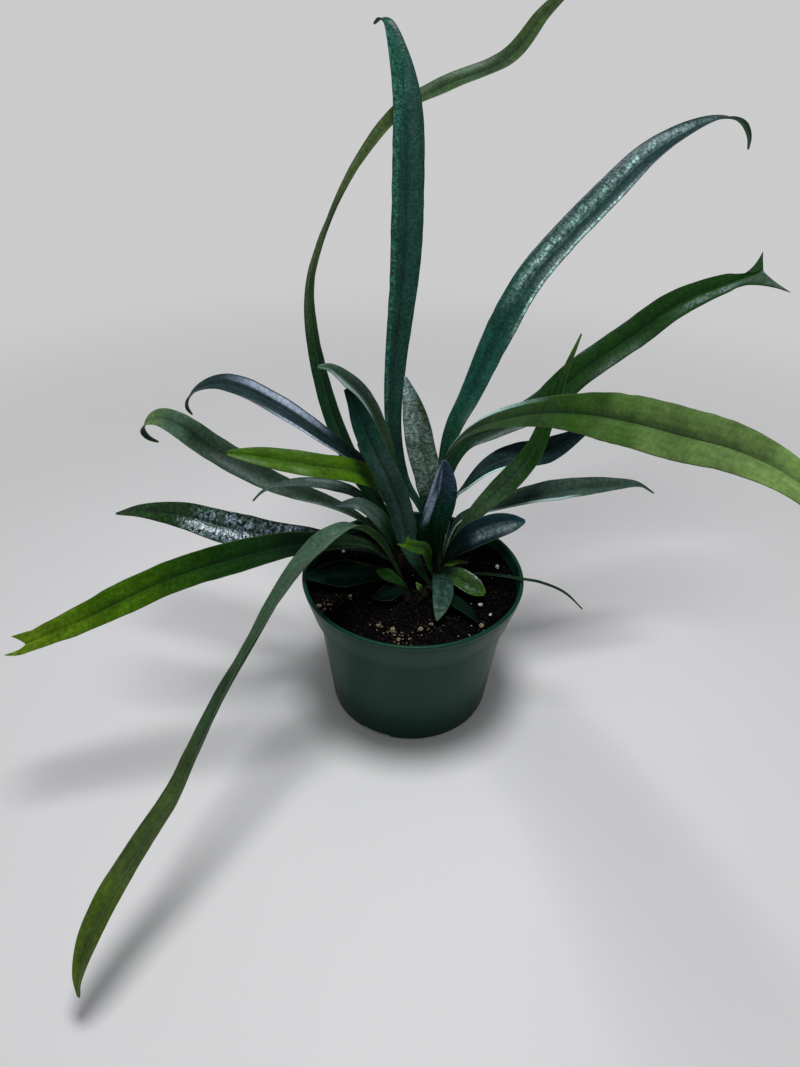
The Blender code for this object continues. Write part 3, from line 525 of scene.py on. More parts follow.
def makeFrond(name, plan, skins):
    build = frondBuild
    frames, length = frondFrames(plan)
    seed = 7.3 * len(name) + plan["width"] + plan["line"][0][0]
    fold = radians(plan["fold"])
    fork = plan["fork"]
    columns = [-c for c in reversed(build["columns"][1:])] + list(build["columns"])
    middle = len(columns) // 2
    thickest = build["stalkThickness"]
    shape = bmesh.new()
    bladeMap = shape.loops.layers.uv.new("blade")
    sizeMap = shape.loops.layers.uv.new("realSize")
    weights = {}
    facts = {}

    def addPoint(place, c, half, u, arc, openShare, thin=1.0):
        point = shape.verts.new(place * mm)
        stalky = 1 - smoothStep(0.12, 0.6, openShare)
        rib = build["ribThickness"] * exp(-(c * half / build["ribWidth"]) ** 2)
        rib *= 1 - smoothStep(0.6, 1, u)
        blade = mixed(build["bladeThickness"], build["edgeThickness"], smoothStep(0.7, 1, abs(c))) + rib
        weights[point] = mixed(blade, build["stalkThickness"] * (1 - 0.3 * u), stalky) / thickest * thin
        facts[point] = (0.5 + 0.5 * c, u, c * half * 0.1, arc * 0.1)
        return point

    rows = []
    for u, place, along, side, face in frames:
        arc = u * length
        share = bladeShare(u, plan["shape"])
        half = 0.5 * max(build["stalkWidth"] * (1 - build["stalkTaper"] * u), plan["width"] * share)
        openShare = min(1, half / (0.5 * plan["width"])) if share > 0.05 else 0
        size = min(1, plan["width"] / build["fullWidth"])
        row = []
        for c in columns:
            edge = abs(c)
            hand = 1 if c > 0 else -1
            reach = 1 + build["scallop"] * openShare * wander(arc / build["scallopLength"], hand * 3.1, seed)
            lift = half * sin(fold) * (edge - 0.5)
            lift += half * build["arch"] * sin(pi * edge ** 0.8) * openShare
            lift -= build["grooveDepth"] * size * openShare * exp(-(c * half / build["ribWidth"]) ** 2)
            lift += (plan["wave"] * build["waveHeight"] * size * openShare * edge ** 1.6
                     * wander(arc / build["waveLength"], hand * 5.7, seed + 20))
            lift += (plan["crinkle"] * build["crinkleHeight"] * openShare * (1 - edge ** 4)
                     * wander(arc / build["crinkleLength"], c * half / build["crinkleLength"], seed + 40))
            spot = place + side * (c * half * cos(fold) * reach) + face * lift
            if fork:
                # near a fork the edges stay behind the middle, so that each lobe has a broad foot
                lag = build["lobeLag"] * fork[0 if c < 0 else 1][1] * size
                nearFork = smoothStep(length - build["lobeLagLength"], length, arc)
                spot += (side * plan["notchShift"] * (1 - edge) - along * lag * edge) * nearFork
            row.append(addPoint(spot, c, half, u, arc, openShare))
        rows.append(row)

    def addFaces(lower, upper):
        for i in range(len(lower) - 1):
            for loop in shape.faces.new([lower[i], upper[i], upper[i + 1], lower[i + 1]]).loops:
                x, y, realX, realY = facts[loop.vert]
                loop[bladeMap].uv = (x, y)
                loop[sizeMap].uv = (realX, realY)

    for lower, upper in zip(rows, rows[1:]):
        addFaces(lower, upper)

    if fork:
        u, place, along, side, face = frames[-1]
        notch = place + side * plan["notchShift"]
        half = 0.5 * plan["width"] * bladeShare(1, plan["shape"])
        for hand, (reach, spread) in zip((-1, 1), fork):
            out = side * hand
            tip = place + along * reach + out * spread
            lag = build["lobeLag"] * spread * size
            innerBend = notch + out * max(spread, half) * build["notchWidth"]
            innerBend += along * reach * build["notchDepth"]
            outerStart = place + out * half * cos(fold) - along * lag
            outerBend = outerStart + out * spread * build["lobeBend"]
            outerBend += along * (reach * build["lobeReach"] + lag * 0.6)
            edges = columns[:middle + 1] if hand < 0 else columns[middle:]
            lower = rows[-1][:middle + 1] if hand < 0 else rows[-1][middle:]
            for step in range(1, build["lobeRows"] + 1):
                t = step / build["lobeRows"]
                inner = quadratic(notch, innerBend, tip - out * build["lobeTip"], t)
                outer = quadratic(outerStart, outerBend, tip + out * build["lobeTip"], t)
                upper = []
                for c in edges:
                    lift = half * sin(fold) * (abs(c) - 0.5) * (1 - t)
                    spot = inner.lerp(outer, abs(c)) + face * lift
                    upper.append(addPoint(spot, c, half * (1 - t), 1, length + t * reach, 1, 1 - 0.3 * t))
                addFaces(lower, upper)
                lower = upper

    shape.verts.index_update()
    strengths = [weights[point] for point in shape.verts]
    piece = newPiece("leaf_" + name, shape, skins)
    group = piece.vertex_groups.new(name="thickness")
    for index, strength in enumerate(strengths):
        group.add([index], min(1, strength), "REPLACE")
    leaf = piece.modifiers.new("leaf", "SOLIDIFY")
    leaf.thickness = thickest * mm
    leaf.offset = 0
    leaf.vertex_group = "thickness"
    leaf.material_offset = 1
    soft = piece.modifiers.new("soft", "SUBSURF")
    soft.levels = soft.render_levels = 1
    finishPiece(piece, "frond_" + name, "frond_" + name)


frondTones = dict(
    speck=(0.16, 0.21, 0.14), paleRib=(0.12, 0.17, 0.10), darkRib=(0.002, 0.006, 0.004),
    groove=(0.010, 0.022, 0.016), darkEdge=(0.002, 0.010, 0.008), paleEdge=(0.07, 0.11, 0.045),
    vein=(0.02, 0.04, 0.03), shine=(0.78, 0.92, 1.0, 1),
)


def brightened(colour, share):
    # the colour with every channel times the share
    grey = addNode(colour.id_data, "CombineXYZ", {0: share, 1: share, 2: share}).outputs[0]
    return blend(1.0, colour, grey, "MULTIPLY")


def insideBand(value, low, high, soft):
    rise = remap(value, low - soft, low + soft, 0, 1, True)
    return times(rise, remap(value, high - soft, high + soft, 1, 0, True))


def frondSkin(name, plan):
    tones = frondTones
    skin, tree, shader = newSkin("leafTop_" + name)
    place = objectPlace(tree)
    bladeX, bladeY, _ = channels(addNode(tree, "UVMap", uv_map="blade").outputs[0])
    size = addNode(tree, "UVMap", uv_map="realSize").outputs[0]
    realX = channels(size)[0]
    across = sums("SUBTRACT", times(bladeX, 2.0), 1.0)

    shares = (0.05, 0.3, 0.55, 0.8, 1)
    stops = [(share, greens[colour]) for share, colour in zip(shares, plan["colours"].split())]
    drift = sums("ADD", bladeY, remap(cloud(place, 30), 0.3, 0.7, -0.06, 0.06))
    colour = ramp(drift, stops)
    colour = brightened(colour, remap(cloud(place, 55, 3), 0.3, 0.7, 0.75, 1.25))
    streaks = cloud(stretched(size, (6.0, 0.5, 1.0)), 1.0, 3)
    colour = brightened(colour, remap(streaks, 0.3, 0.7, 0.82, 1.18))
    colour = brightened(colour, remap(cloud(place, 420, 2), 0.35, 0.65, 0.85, 1.15))

    # crinkled skin: a net of creases, broken up into patches
    warp = addNode(tree, "TexNoise", {"Vector": size, "Scale": 4.0, "Detail": 2.0}).outputs[1]
    bent = blend(0.12, stretched(size, (1.0, 1.35, 1.0)), warp, "ADD")
    net, finer = (addNode(tree, "TexVoronoi", {"Vector": bent, "Scale": scale, "Smoothness": 0.4},
                          feature="SMOOTH_F1").outputs["Distance"] for scale in (plan["wrinkle"], 9.0))
    crease = sums("ADD", net, times(finer, 0.35))
    patch = remap(cloud(size, 0.55, 2), 0.35, 0.6, 0.35, 1)
    pebble = cloud(place, 1500, 2)

    # painted highlight: the colour is brightened on the crests of the crinkles, and pale blue glints are
    # painted on the crests in bands along the blade
    wrinkle = cloud(stretched(size, (1.0, 1.3, 1.0)), plan["wrinkle"] * 0.8, 1.5, 0.4, 0.5)
    colour = brightened(colour, remap(wrinkle, 0.38, 0.66, 1 - 0.3 * plan["crinkle"],
                                            1 + 0.6 * plan["crinkle"], True))
    grain = plan.get("grain", min(1, 1.1 * plan["crinkle"]))
    crest = remap(wrinkle, 0.36, 0.56, 1 - grain, 1, True)
    clear = remap(cloud(size, 1.1, 2), 0.38, 0.58, 1 - 0.75 * grain, 1, True)
    crest = times(crest, clear)
    dustAndGlint = None
    for middle, width, start, end, strength in plan["glintBands"]:
        band = insideBand(across, middle - width, middle + width, width * 0.45)
        band = times(band, insideBand(bladeY, start, end, 0.06))
        band = times(band, strength)
        dustAndGlint = sums("MAXIMUM", dustAndGlint, band) if dustAndGlint else band
    if dustAndGlint:
        # the painted highlight's colour: the blade's colour brightened and mixed with a pale glint colour
        glintColour = blend(0.85, brightened(colour, 4.0), greens[plan["dustAndGlint"]])
        pebbled = times(crest, remap(net, 0.52, 0.32, 1 - 0.7 * grain, 1, True))
        colour = blend(times(dustAndGlint, pebbled), colour, glintColour)

    # paler specks and short scuffs
    dotShare = remap(cells(place, 420), 0.16, 0.06, 0, 0.35 * plan["specks"] + 0.03, True)
    colour = blend(dotShare, colour, tones["speck"])

    # midrib, then the thin pale margin
    ribWide = sums("ABSOLUTE", realX)
    ribTone = tones["paleRib" if plan["rib"] > 0 else "darkRib"]
    fading = remap(bladeY, 0.75, 0.97, 1, 0.1 if plan["rib"] < 0 else 0.7, True)
    ribEdge = 0.09 if plan["rib"] > 0 else 0.06
    nearRib = remap(ribWide, 0.025, ribEdge, abs(plan["rib"]) * 0.75, 0, True)
    colour = blend(times(nearRib, fading), colour, ribTone)
    wide = remap(ribWide, 0.05, 0.4, 0.22, 0, True)
    colour = blend(times(wide, fading), colour, tones["groove"])
    margin = sums("ABSOLUTE", across)
    edgeTone = tones["darkEdge" if plan["gloss"] < 0.35 else "paleEdge"]
    colour = blend(remap(margin, 0.94, 1.0, 0, 0.6, True), colour, edgeTone)

    creased = bumped(times(crease, patch), 0.00024 * plan["crinkle"] + 0.00002)
    gloss = plan["gloss"]
    shiny = gloss < 0.3
    plug(shader, {
        "Base Color": colour,
        "Coat Normal": creased,
        "Normal": bumped(pebble, 0.00003, creased),
        "Roughness": remap(cloud(place, 130, 3), 0.3, 0.7, gloss - 0.05, gloss + 0.09),
        "Specular IOR Level": 0.16 if shiny else 0.12 * (0.55 - gloss) / 0.25,
        "Specular Tint": tones["shine"],
        "Coat Weight": 0.35 if shiny else 0.06 if gloss < 0.45 else 0,
        "Coat Roughness": 0.2 if shiny else 0.25,
    })
    return skin


# each underside's colour near the stalk and at the tip
underLook = dict(
    ink=((0.005, 0.014, 0.009), (0.008, 0.022, 0.013)), dark=((0.014, 0.044, 0.026), (0.022, 0.062, 0.034)),
    green=((0.030, 0.075, 0.022), (0.048, 0.105, 0.030)), lime=((0.070, 0.140, 0.030), (0.11, 0.18, 0.05)),
)


def underSkin(name, body, tip):
    skin, tree, shader = newSkin("leafUnder_" + name)
    place = objectPlace(tree)
    size = addNode(tree, "UVMap", uv_map="realSize").outputs[0]
    bladeY = channels(addNode(tree, "UVMap", uv_map="blade").outputs[0])[1]
    colour = ramp(bladeY, [(0.2, body), (1, tip)])
    colour = brightened(colour, remap(cloud(place, 90, 3), 0.3, 0.7, 0.8, 1.2))
    veins = addNode(tree, "TexVoronoi", {"Vector": size, "Scale": 3.2}, feature="DISTANCE_TO_EDGE").outputs[0]
    colour = blend(remap(veins, 0.06, 0.0, 0, 0.25, True), colour, frondTones["vein"])
    nearRib = remap(sums("ABSOLUTE", channels(size)[0]), 0.04, 0.09, 0.5, 0, True)
    plug(shader, {"Base Color": blend(nearRib, colour, frondTones["paleRib"]), "Roughness": 0.5,
                        "Specular IOR Level": 0.12,
                        "Normal": bumped(cloud(place, 900, 3), 0.00006)})
    return skin


# the underside goes by the colour halfway along the blade
underOf = dict(ink="ink", shade="ink", leaf="green", moss="green", olive="green", lime="lime")
undersides = {name: underSkin(name, *look) for name, look in underLook.items()}
for name, ownPlan in frondPlans.items():
    plan = usualFrond | ownPlan
    kind = underOf.get(plan["colours"].split()[2], "dark")
    makeFrond(name, plan, [frondSkin(name, plan), undersides[kind]])
print("fronds made,", len(frondPlans))


# ---- pot ----

potPlan = dict(
    height=106, rim=76, lipWidth=2.8, lipRound=1.1, lipDepth=3.2, collarHeight=24, collarDraft=6,
    collarStep=4, base=57, baseRound=2, wall=1.5, steps=144,
    slots=4, slotWidth=22, slotDepth=7, slotHeight=2.5, slotTurn=65,
    colour=(0.003, 0.044, 0.025), dust=(0.013, 0.042, 0.031), dustShare=0.6, gloss=0.3,
    # painted shade at the foot of the wall: its colour, and the heights where it starts and is strongest
    footShade=(0.001, 0.020, 0.010), footShadeFrom=0.042, footShadeTo=0.014,
    spot=(0.10, 0.14, 0.11), nick=(0.001, 0.006, 0.004),
    shoulder=0.62, shoulderDrop=4.2,  # how far the wall starts inside the lip, and below the rim
)


def arc(centreX, centreZ, radius, start, end, steps):
    turns = [radians(mixed(start, end, i / steps)) for i in range(steps + 1)]
    return [(centreX + radius * cos(a), centreZ + radius * sin(a)) for a in turns]


def innerWall():
    # radius and height at each corner of the inner wall, from its foot to the lip
    plan = potPlan
    collarFoot = plan["height"] - plan["collarHeight"]
    collarOut = plan["rim"] - plan["collarDraft"]
    wall = plan["wall"]
    return [(plan["base"] - wall, wall), (collarOut - plan["collarStep"] - wall, collarFoot - wall),
            (collarOut - wall, collarFoot + wall),
            (plan["rim"] - plan["lipWidth"], plan["height"] - plan["lipDepth"])]


def potInside(height):
    corners = innerWall()
    for (lowRadius, low), (highRadius, high) in zip(corners, corners[1:]):
        if height <= high:
            break
    return mixed(lowRadius, highRadius, (height - low) / (high - low))


def spun(profile, steps):
    # turns a profile of (radius, height) in millimetres about the z axis
    shape = bmesh.new()
    bridge(shape, [addCircle(shape, radius, height, steps if radius else 1) for radius, height in profile])
    return outward(shape)


def potSkin():
    plan = potPlan
    skin, tree, shader = newSkin("potPlastic")
    place = objectPlace(tree)
    height = channels(place)[2]
    streaks = cloud(stretched(place, (90.0, 90.0, 6.0)), 1.0, 4, 0.6)
    dustAndGlint = cloud(place, 22, 4, 0.55)
    share = times(remap(streaks, 0.4, 0.75), remap(dustAndGlint, 0.35, 0.7))
    share = times(share, plan["dustShare"])
    tone = blend(share, plan["colour"], plan["dust"])
    # painted shade: the wall darkens towards its foot
    footShade = sums("ADD", height, remap(dustAndGlint, 0.3, 0.7, -0.004, 0.004))
    foot = remap(footShade, plan["footShadeFrom"], plan["footShadeTo"], 0, 0.8, True)
    tone = blend(foot, tone, plan["footShade"])
    spots = remap(cells(place, 95), 0.09, 0.04, 0, 1, True)
    spotShare = times(spots, remap(dustAndGlint, 0.5, 0.7, 0, 0.5))
    tone = blend(spotShare, tone, plan["spot"])
    nicks = cloud(stretched(place, (120.0, 120.0, 260.0)), 1.0, 3, 0.6)
    tone = blend(remap(nicks, 0.70, 0.74, 0, 0.8, True), tone, plan["nick"])
    peel = bumped(cloud(place, 1100, 2), 0.00002)
    flow = bumped(cloud(stretched(place, (160.0, 160.0, 9.0)), 1.0, 3), 0.00008, peel)
    scratch = cloud(stretched(place, (900.0, 900.0, 40.0)), 1.0, 2)
    plug(shader, {"Base Color": tone, "Specular IOR Level": 0.15,
                        "Roughness": remap(streaks, 0.3, 0.75, plan["gloss"], plan["gloss"] + 0.16),
                        "Normal": bumped(remap(scratch, 0.68, 0.74), -0.00002, flow)})
    return skin


def makePot():
    plan = potPlan
    height, rim, base, wall = plan["height"], plan["rim"], plan["base"], plan["wall"]
    lipRound, lipFoot, baseRound = plan["lipRound"], height - plan["lipDepth"], plan["baseRound"]
    collarFoot = height - plan["collarHeight"]
    collarOut = rim - plan["collarDraft"]
    inside = [(0, wall), (0.5, wall)]
    inside += arc(potInside(wall) - 3 * wall, 4 * wall, 3 * wall, -88, -8, 6)
    inside += [(potInside(level), level) for level in (10, 30, 50, 70, 78)]
    inside += innerWall()[1:]
    lip = arc(rim - plan["lipWidth"] + lipRound, height - lipRound, lipRound, 180, 90, 6)
    lip += arc(rim - lipRound, height - lipRound, lipRound, 90, -35, 8)
    shoulder = rim - plan["shoulder"]
    shoulderTop = height - plan["shoulderDrop"]
    outside = [(rim - 0.55, lipFoot),
               (shoulder, lipFoot - 1)]
    outside += [(mixed(shoulder, collarOut, share), mixed(shoulderTop, collarFoot + 1, share))
                for share in (0.25, 0.5, 0.75, 1)]
    outside += arc(collarOut - 0.7, collarFoot + 0.7, 0.7, 0, -80, 4)
    top = collarOut - plan["collarStep"]
    outside += arc(top + 0.8, collarFoot - 0.8, 0.8, 100, 178, 4)
    for share in (0.03, 0.12, 0.3, 0.5, 0.7, 0.85, 0.95):
        outside.append((mixed(top, base, share), mixed(collarFoot - 1.2, baseRound, share)))
    foot = arc(base - baseRound, baseRound, baseRound, 0, -90, 9)
    underside = [(base - baseRound - 1.2, 0), (base - baseRound - 2, 0.35),
                 (20, 0.35), (6, 0.35), (5, 0.1), (0, 0.1)]
    profile = inside + lip + outside + foot + underside
    pot = newPiece("nursery_pot", spun(profile, plan["steps"]), [potSkin()])
    cutters = []
    for index in range(plan["slots"]):
        # a drain slot through the corner between the base and the wall
        angle = radians(plan["slotTurn"] + 360 * index / plan["slots"])
        shape = bmesh.new()
        bmesh.ops.create_cube(shape, size=2 * mm)
        size = (plan["slotDepth"], plan["slotWidth"] / 2, plan["slotHeight"])
        bmesh.ops.scale(shape, vec=size, verts=shape.verts)
        cutter = newPiece(f"slot_{index}", shape, [], False)
        cutter.rotation_euler.z = angle
        cutter.location = (plan["base"] * mm * cos(angle), plan["base"] * mm * sin(angle), 0)
        cutters.append(cutter)
        slot = pot.modifiers.new(cutter.name, "BOOLEAN")
        slot.object = cutter
    bpy.context.view_layer.update()
    cutMesh = bpy.data.meshes.new_from_object(pot.evaluated_get(bpy.context.evaluated_depsgraph_get()))
    pot.modifiers.clear()
    pot.data = cutMesh
    cutMesh.set_sharp_from_angle(angle=radians(50))
    for cutter in cutters:
        bpy.data.objects.remove(cutter)
    finishPiece(pot, "pot", "pot")


makePot()
print("pot made")


# ---- soil and what lies on it ----

soilPlan = dict(
    top=98, crown=1.5, rings=84, steps=300, gap=0.3, roughHeight=2.0, lumpLength=5, grainLength=2.2,
    crumbs=5200, crumbSizes=(0.6, 3.4), fibres=70, paleBits=150, perliteBits=40, flecks=(0.07, 0.055, 0.045),
    tones=[(0.35, (0.0008, 0.0007, 0.0008)), (0.55, (0.0022, 0.0017, 0.0018)), (0.75, (0.01, 0.007, 0.0065))],
    crumbTones=[(0.35, (0.0008, 0.0007, 0.0008)), (0.55, (0.014, 0.01, 0.0105)),
                (0.75, (0.08, 0.055, 0.052))],
)
soilReach = potInside(soilPlan["top"])


def soilHeight(x, y):
    # the plain mound of the CAD soil, in millimetres
    plan = soilPlan
    share = min(1, hypot(x, y) / soilReach)
    place = Vector((x, y, 0)) * mm
    bump = noise.noise(place * 90) + 0.5 * noise.noise(place * 260)
    return plan["top"] + plan["crown"] * (1 - share * share) + 0.8 * bump * (1 - share ** 6)


def crumblyHeight(x, y):
    plan = soilPlan
    lumps = wander(x / plan["lumpLength"], y / plan["lumpLength"], 3)
    grains = abs(wander(x / plan["grainLength"], y / plan["grainLength"], 9))
    return soilHeight(x, y) + plan["roughHeight"] * (0.5 * lumps + 0.9 * grains - 0.5)


def soilSkin(name, tones):
    return grainySkin(name, tones, scale=700, sharpness=0.65, loose=0.75, rough=0.95, shine=0.05,
                      depth=0.0008, flecks=soilPlan["flecks"])


def makeSoil():
    plan = soilPlan
    shape = bmesh.new()
    radius = soilReach - plan["gap"]
    rings = [[shape.verts.new((0, 0, crumblyHeight(0, 0) * mm))]]
    for ring in range(1, plan["rings"] + 1):
        reach = radius * ring / plan["rings"]
        points = []
        for step in range(plan["steps"]):
            angle = 2 * pi * step / plan["steps"]
            x, y = reach * cos(angle), reach * sin(angle)
            points.append(shape.verts.new((x * mm, y * mm, crumblyHeight(x, y) * mm)))
        rings.append(points)
    for height in (92, 83.5, 80.5, 60, 30, 8):
        rings.append(addCircle(shape, potInside(height) - plan["gap"] * 1.2, height, plan["steps"]))
    rings.append(addCircle(shape, potInside(2) - 5, 1.8, plan["steps"]))
    rings.append(addCircle(shape, 0, 1.8, 1))
    bridge(shape, rings)
    finishPiece(newPiece("potting_soil", outward(shape), [soilSkin("pottingSoil", plan["tones"])]),
                "soil", "soil")


def addLump(shape, place, size, chance, rounds=1, stretch=(0.6, 1.0), knobs=0.25):
    made = bmesh.ops.create_icosphere(shape, subdivisions=rounds, radius=0.5)["verts"]
    sizes = [chance.uniform(*stretch) for _ in range(3)]
    scale = Vector((sizes[0], sizes[1], sizes[2] * 0.85)) * size * mm
    turn = Matrix.Rotation(chance.uniform(0, 6.28), 3, "Z")
    turn = turn @ Matrix.Rotation(chance.uniform(-0.6, 0.6), 3, "X")
    offset = chance.uniform(0, 50)
    for point in made:
        if rounds > 1:
            knob = 1 + knobs * wander(*(point.co * 4 + Vector((offset, 0, 0))))
        else:
            knob = chance.uniform(0.75, 1.15)
        point.co = turn @ Vector(a * b for a, b in zip(point.co * knob, scale)) + place


def spotOnSoil(chance):
    reach = (soilReach - 2) * sqrt(chance.uniform(0, 1))
    angle = chance.uniform(0, 2 * pi)
    return reach * cos(angle), reach * sin(angle)


def scatterLumps(name, skin, count, sizes, seed, places=None, spreadOut=5.0, like="soil"):
    chance = random.Random(seed)
    shape = bmesh.new()
    for _ in range(count):
        if places:
            nearX, nearY = chance.choice(places)
            x, y = chance.gauss(nearX, spreadOut), chance.gauss(nearY, spreadOut)
        else:
            x, y = spotOnSoil(chance)
        size = mixed(sizes[0], sizes[1], chance.random() ** 2.2)
        if hypot(x, y) > soilReach - 0.5 - size / 2:
            continue
        height = crumblyHeight(x, y) + size * 0.18
        addLump(shape, Vector((x, y, height)) * mm, size, chance)
    finishPiece(newPiece(name, shape, [skin], False), like)


def scatterFibres(name, skin, count, seed):
    chance = random.Random(seed)
    shape = bmesh.new()
    for _ in range(count):
        x, y = spotOnSoil(chance)
        if hypot(x, y) > soilReach - 6:
            continue
        reach = chance.uniform(2, 7)
        thick = chance.uniform(0.12, 0.4)
        angle = chance.uniform(0, 2 * pi)
        bend = chance.uniform(-0.5, 0.5)
        stops = []
        for step in range(6):
            t = step / 5
            turn = angle + bend * t
            px = x + reach * t * cos(turn)
            py = y + reach * t * sin(turn)
            pz = crumblyHeight(px, py) + thick + 0.4 * sin(pi * t)
            stops.append((Vector((px, py, pz)), Vector((-sin(turn), cos(turn), 0)),
                          thick * (1 - 0.7 * abs(t - 0.4))))
        addThread(shape, stops, (0.5, 2.1, 3.7, 5.3))
    finishPiece(newPiece(name, outward(shape), [skin]), "soil")


def pittedSkin(name, deep, pale, rough, depth):
    return grainySkin(name, [(0.35, deep), (0.62, pale)], scale=900, sharpness=0.6, loose=0.5, rough=rough,
                      shine=0.5, depth=depth, pits=True)


barkSkin = pittedSkin("barkBit", (0.08, 0.06, 0.03), (0.40, 0.35, 0.20), 0.85, 0.0003)
perliteSkin = pittedSkin("perliteBit", (0.50, 0.48, 0.42), (0.78, 0.77, 0.72), 0.8, 0.00025)
fibreSkin = pittedSkin("peatFibre", (0.010, 0.006, 0.004), (0.045, 0.026, 0.016), 0.9, 0.0001)
crumbSkin = soilSkin("soilCrumb", soilPlan["crumbTones"])

makeSoil()
frontHeaps = [(-22, -50), (-13, -54), (-9, -62), (5, -53), (12, -48), (-4, -58), (-60, -30), (-42, -22),
              (-54, -26), (44, -48)]
scatterLumps("soil_crumbs", crumbSkin, soilPlan["crumbs"], soilPlan["crumbSizes"], 11)
scatterLumps("bark_bits", barkSkin, soilPlan["paleBits"], (0.6, 2.4), 12, frontHeaps, 4.0, "bark_chip_1")
scatterLumps("perlite_bits", perliteSkin, soilPlan["perliteBits"], (0.5, 1.7), 13, None, 0, "perlite_grain_1")
scatterFibres("peat_fibres", fibreSkin, soilPlan["fibres"], 14)


def makeGrain(node, skin, seed):
    # one knobbly grain that fills the box of its CAD solid
    low, high = (Vector(corner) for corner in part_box(node))
    chance = random.Random(seed)
    shape = bmesh.new()
    addLump(shape, Vector((0, 0, 0)), 1, chance, 4, (0.9, 1.0), 0.5)
    reach = [max(abs(point.co[axis]) for point in shape.verts) for axis in range(3)]
    for point in shape.verts:
        for axis in range(3):
            point.co[axis] *= (high[axis] - low[axis]) / 2 / reach[axis]
        point.co += (low + high) / 2
    name = node.replace("chip", "piece").replace("grain", "bead")
    finishPiece(newPiece(name, shape, [skin]), node, node)


for node in sorted(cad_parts):
    if node.startswith("bark_chip"):
        makeGrain(node, barkSkin, 30 + int(node[-1]))
    if node.startswith("perlite_grain"):
        makeGrain(node, perliteSkin, 60 + int(node[-1]))
print("soil and grains made")


# ---- rhizomes ----

rhizomePlan = dict(
    radius=3, height=100.4, tipStart=0.9, tipShare=0.55, sides=20, step=0.8, knobs=0.25,
    scales=420, scaleLength=2.6, scaleWidth=0.9, scaleThickness=0.12, roots=26, rootWidth=0.28,
    paths=dict(
        rhizome_left=[(3, 45), (-4, 35), (-10, 22), (-11, 8), (-9, -6), (-5, -17), (-4, -26)],
        rhizome_right=[(12, 45), (16, 34), (19, 24), (19, 13), (17, 3), (13, -7), (8, -17), (3, -25)]),
    stem=((0.004, 0.003, 0.002), (0.009, 0.007, 0.005)), scale=((0.006, 0.004, 0.003), (0.018, 0.011, 0.007)),
    root=((0.004, 0.003, 0.002), (0.008, 0.006, 0.004)),
)


def rhizomeSkin(name, tones, scale, rough, depth):
    return grainySkin(name, [(0.3, tones[0]), (0.7, tones[1])], scale, sharpness=0.6, loose=0.55, rough=rough,
                      shine=0.15, depth=depth)


def makeRhizome(node, path, skins, seed):
    plan = rhizomePlan
    chance = random.Random(seed)
    line, length = evenLine([Vector((x, y, plan["height"])) for x, y in path], plan["step"])
    shape = bmesh.new()
    rings = []
    frames = []
    for u, place, along in directions(line):
        side = along.cross(Vector((0, 0, 1))).normalized()
        up = side.cross(along)
        radius = plan["radius"] * (1 - (1 - plan["tipShare"]) * smoothStep(plan["tipStart"], 1, u))
        endRound = min(1, sqrt(max(0.02, min(u, 1 - u) * length / plan["radius"])))
        frames.append((place, along, side, up, radius * endRound))
        ring = []
        for step in range(plan["sides"]):
            angle = 2 * pi * step / plan["sides"]
            knob = 1 + plan["knobs"] * (0.4 * wander(u * length / 3, cos(angle) * 1.3, sin(angle) * 1.3)
                                        - 0.18)
            out = side * cos(angle) + up * sin(angle)
            ring.append(shape.verts.new((place + out * radius * endRound * knob) * mm))
        rings.append(ring)
    bridge(shape, rings, True)
    finishPiece(newPiece(node + "_stem", outward(shape), [skins[0]]), node, node)

    # papery scales that overlap towards the growing tip
    shape = bmesh.new()
    for _ in range(plan["scales"]):
        index = chance.randrange(1, len(frames) - 1)
        place, along, side, up, radius = frames[index]
        angle = chance.uniform(-0.35, pi + 0.35)
        out = side * cos(angle) + up * sin(angle)
        aside = along.cross(out)
        foot = place + out * radius * 0.93
        long = plan["scaleLength"] * chance.uniform(0.6, 1.2)
        wide = plan["scaleWidth"] * chance.uniform(0.7, 1.2)
        drift = aside * chance.uniform(-0.25, 0.25)
        left, right = [], []
        for share, width, lift in ((0, 0.6, 0), (0.3, 1, 0.12), (0.65, 0.7, 0.22), (1, 0.05, 0.5)):
            centre = foot + (along + drift) * long * share + out * (lift + 0.08)
            left.append(shape.verts.new((centre - aside * wide * width / 2) * mm))
            right.append(shape.verts.new((centre + aside * wide * width / 2) * mm))
        for i in range(3):
            shape.faces.new([left[i], right[i], right[i + 1], left[i + 1]])
    scales = newPiece(node + "_scales", shape, [skins[1]])
    thick = scales.modifiers.new("paper", "SOLIDIFY")
    thick.thickness = plan["scaleThickness"] * mm
    finishPiece(scales, node)

    # wiry roots that dip into the soil
    shape = bmesh.new()
    for _ in range(plan["roots"]):
        place, along, side, up, radius = frames[chance.randrange(2, len(frames) - 2)]
        hand = chance.choice((-1, 1))
        start = place + side * hand * radius * 0.9 - up * 0.8
        reach = chance.uniform(3, 9)
        aim = (side * hand + along * chance.uniform(-0.8, 0.8)).normalized()
        stops = []
        for step in range(7):
            t = step / 6
            spot = start + aim * reach * t + side * hand * 0.6 * sin(5 * t)
            ground = crumblyHeight(spot.x, spot.y)
            spot.z = mixed(start.z, ground, smoothStep(0, 0.35, t)) + 0.35 - 1.6 * t * t
            stops.append((spot, Vector((-aim.y, aim.x, 0)), plan["rootWidth"] * (1 - 0.5 * t)))
        addThread(shape, stops, (0.3, 1.6, 2.8, 4.1, 5.3))
    finishPiece(newPiece(node + "_roots", outward(shape), [skins[2]]), node)


rhizomeSkins = [
    rhizomeSkin("rhizomeSkin", rhizomePlan["stem"], 900, 0.9, 0.0003),
    rhizomeSkin("rhizomeScale", rhizomePlan["scale"], 1500, 0.8, 0.0001),
    rhizomeSkin("rootThread", rhizomePlan["root"], 1200, 0.9, 0.0001),
]
for seed, (node, path) in enumerate(rhizomePlan["paths"].items(), 80):
    makeRhizome(node, path, rhizomeSkins, seed)
print("rhizomes made")


# ---- floor, light and camera ----

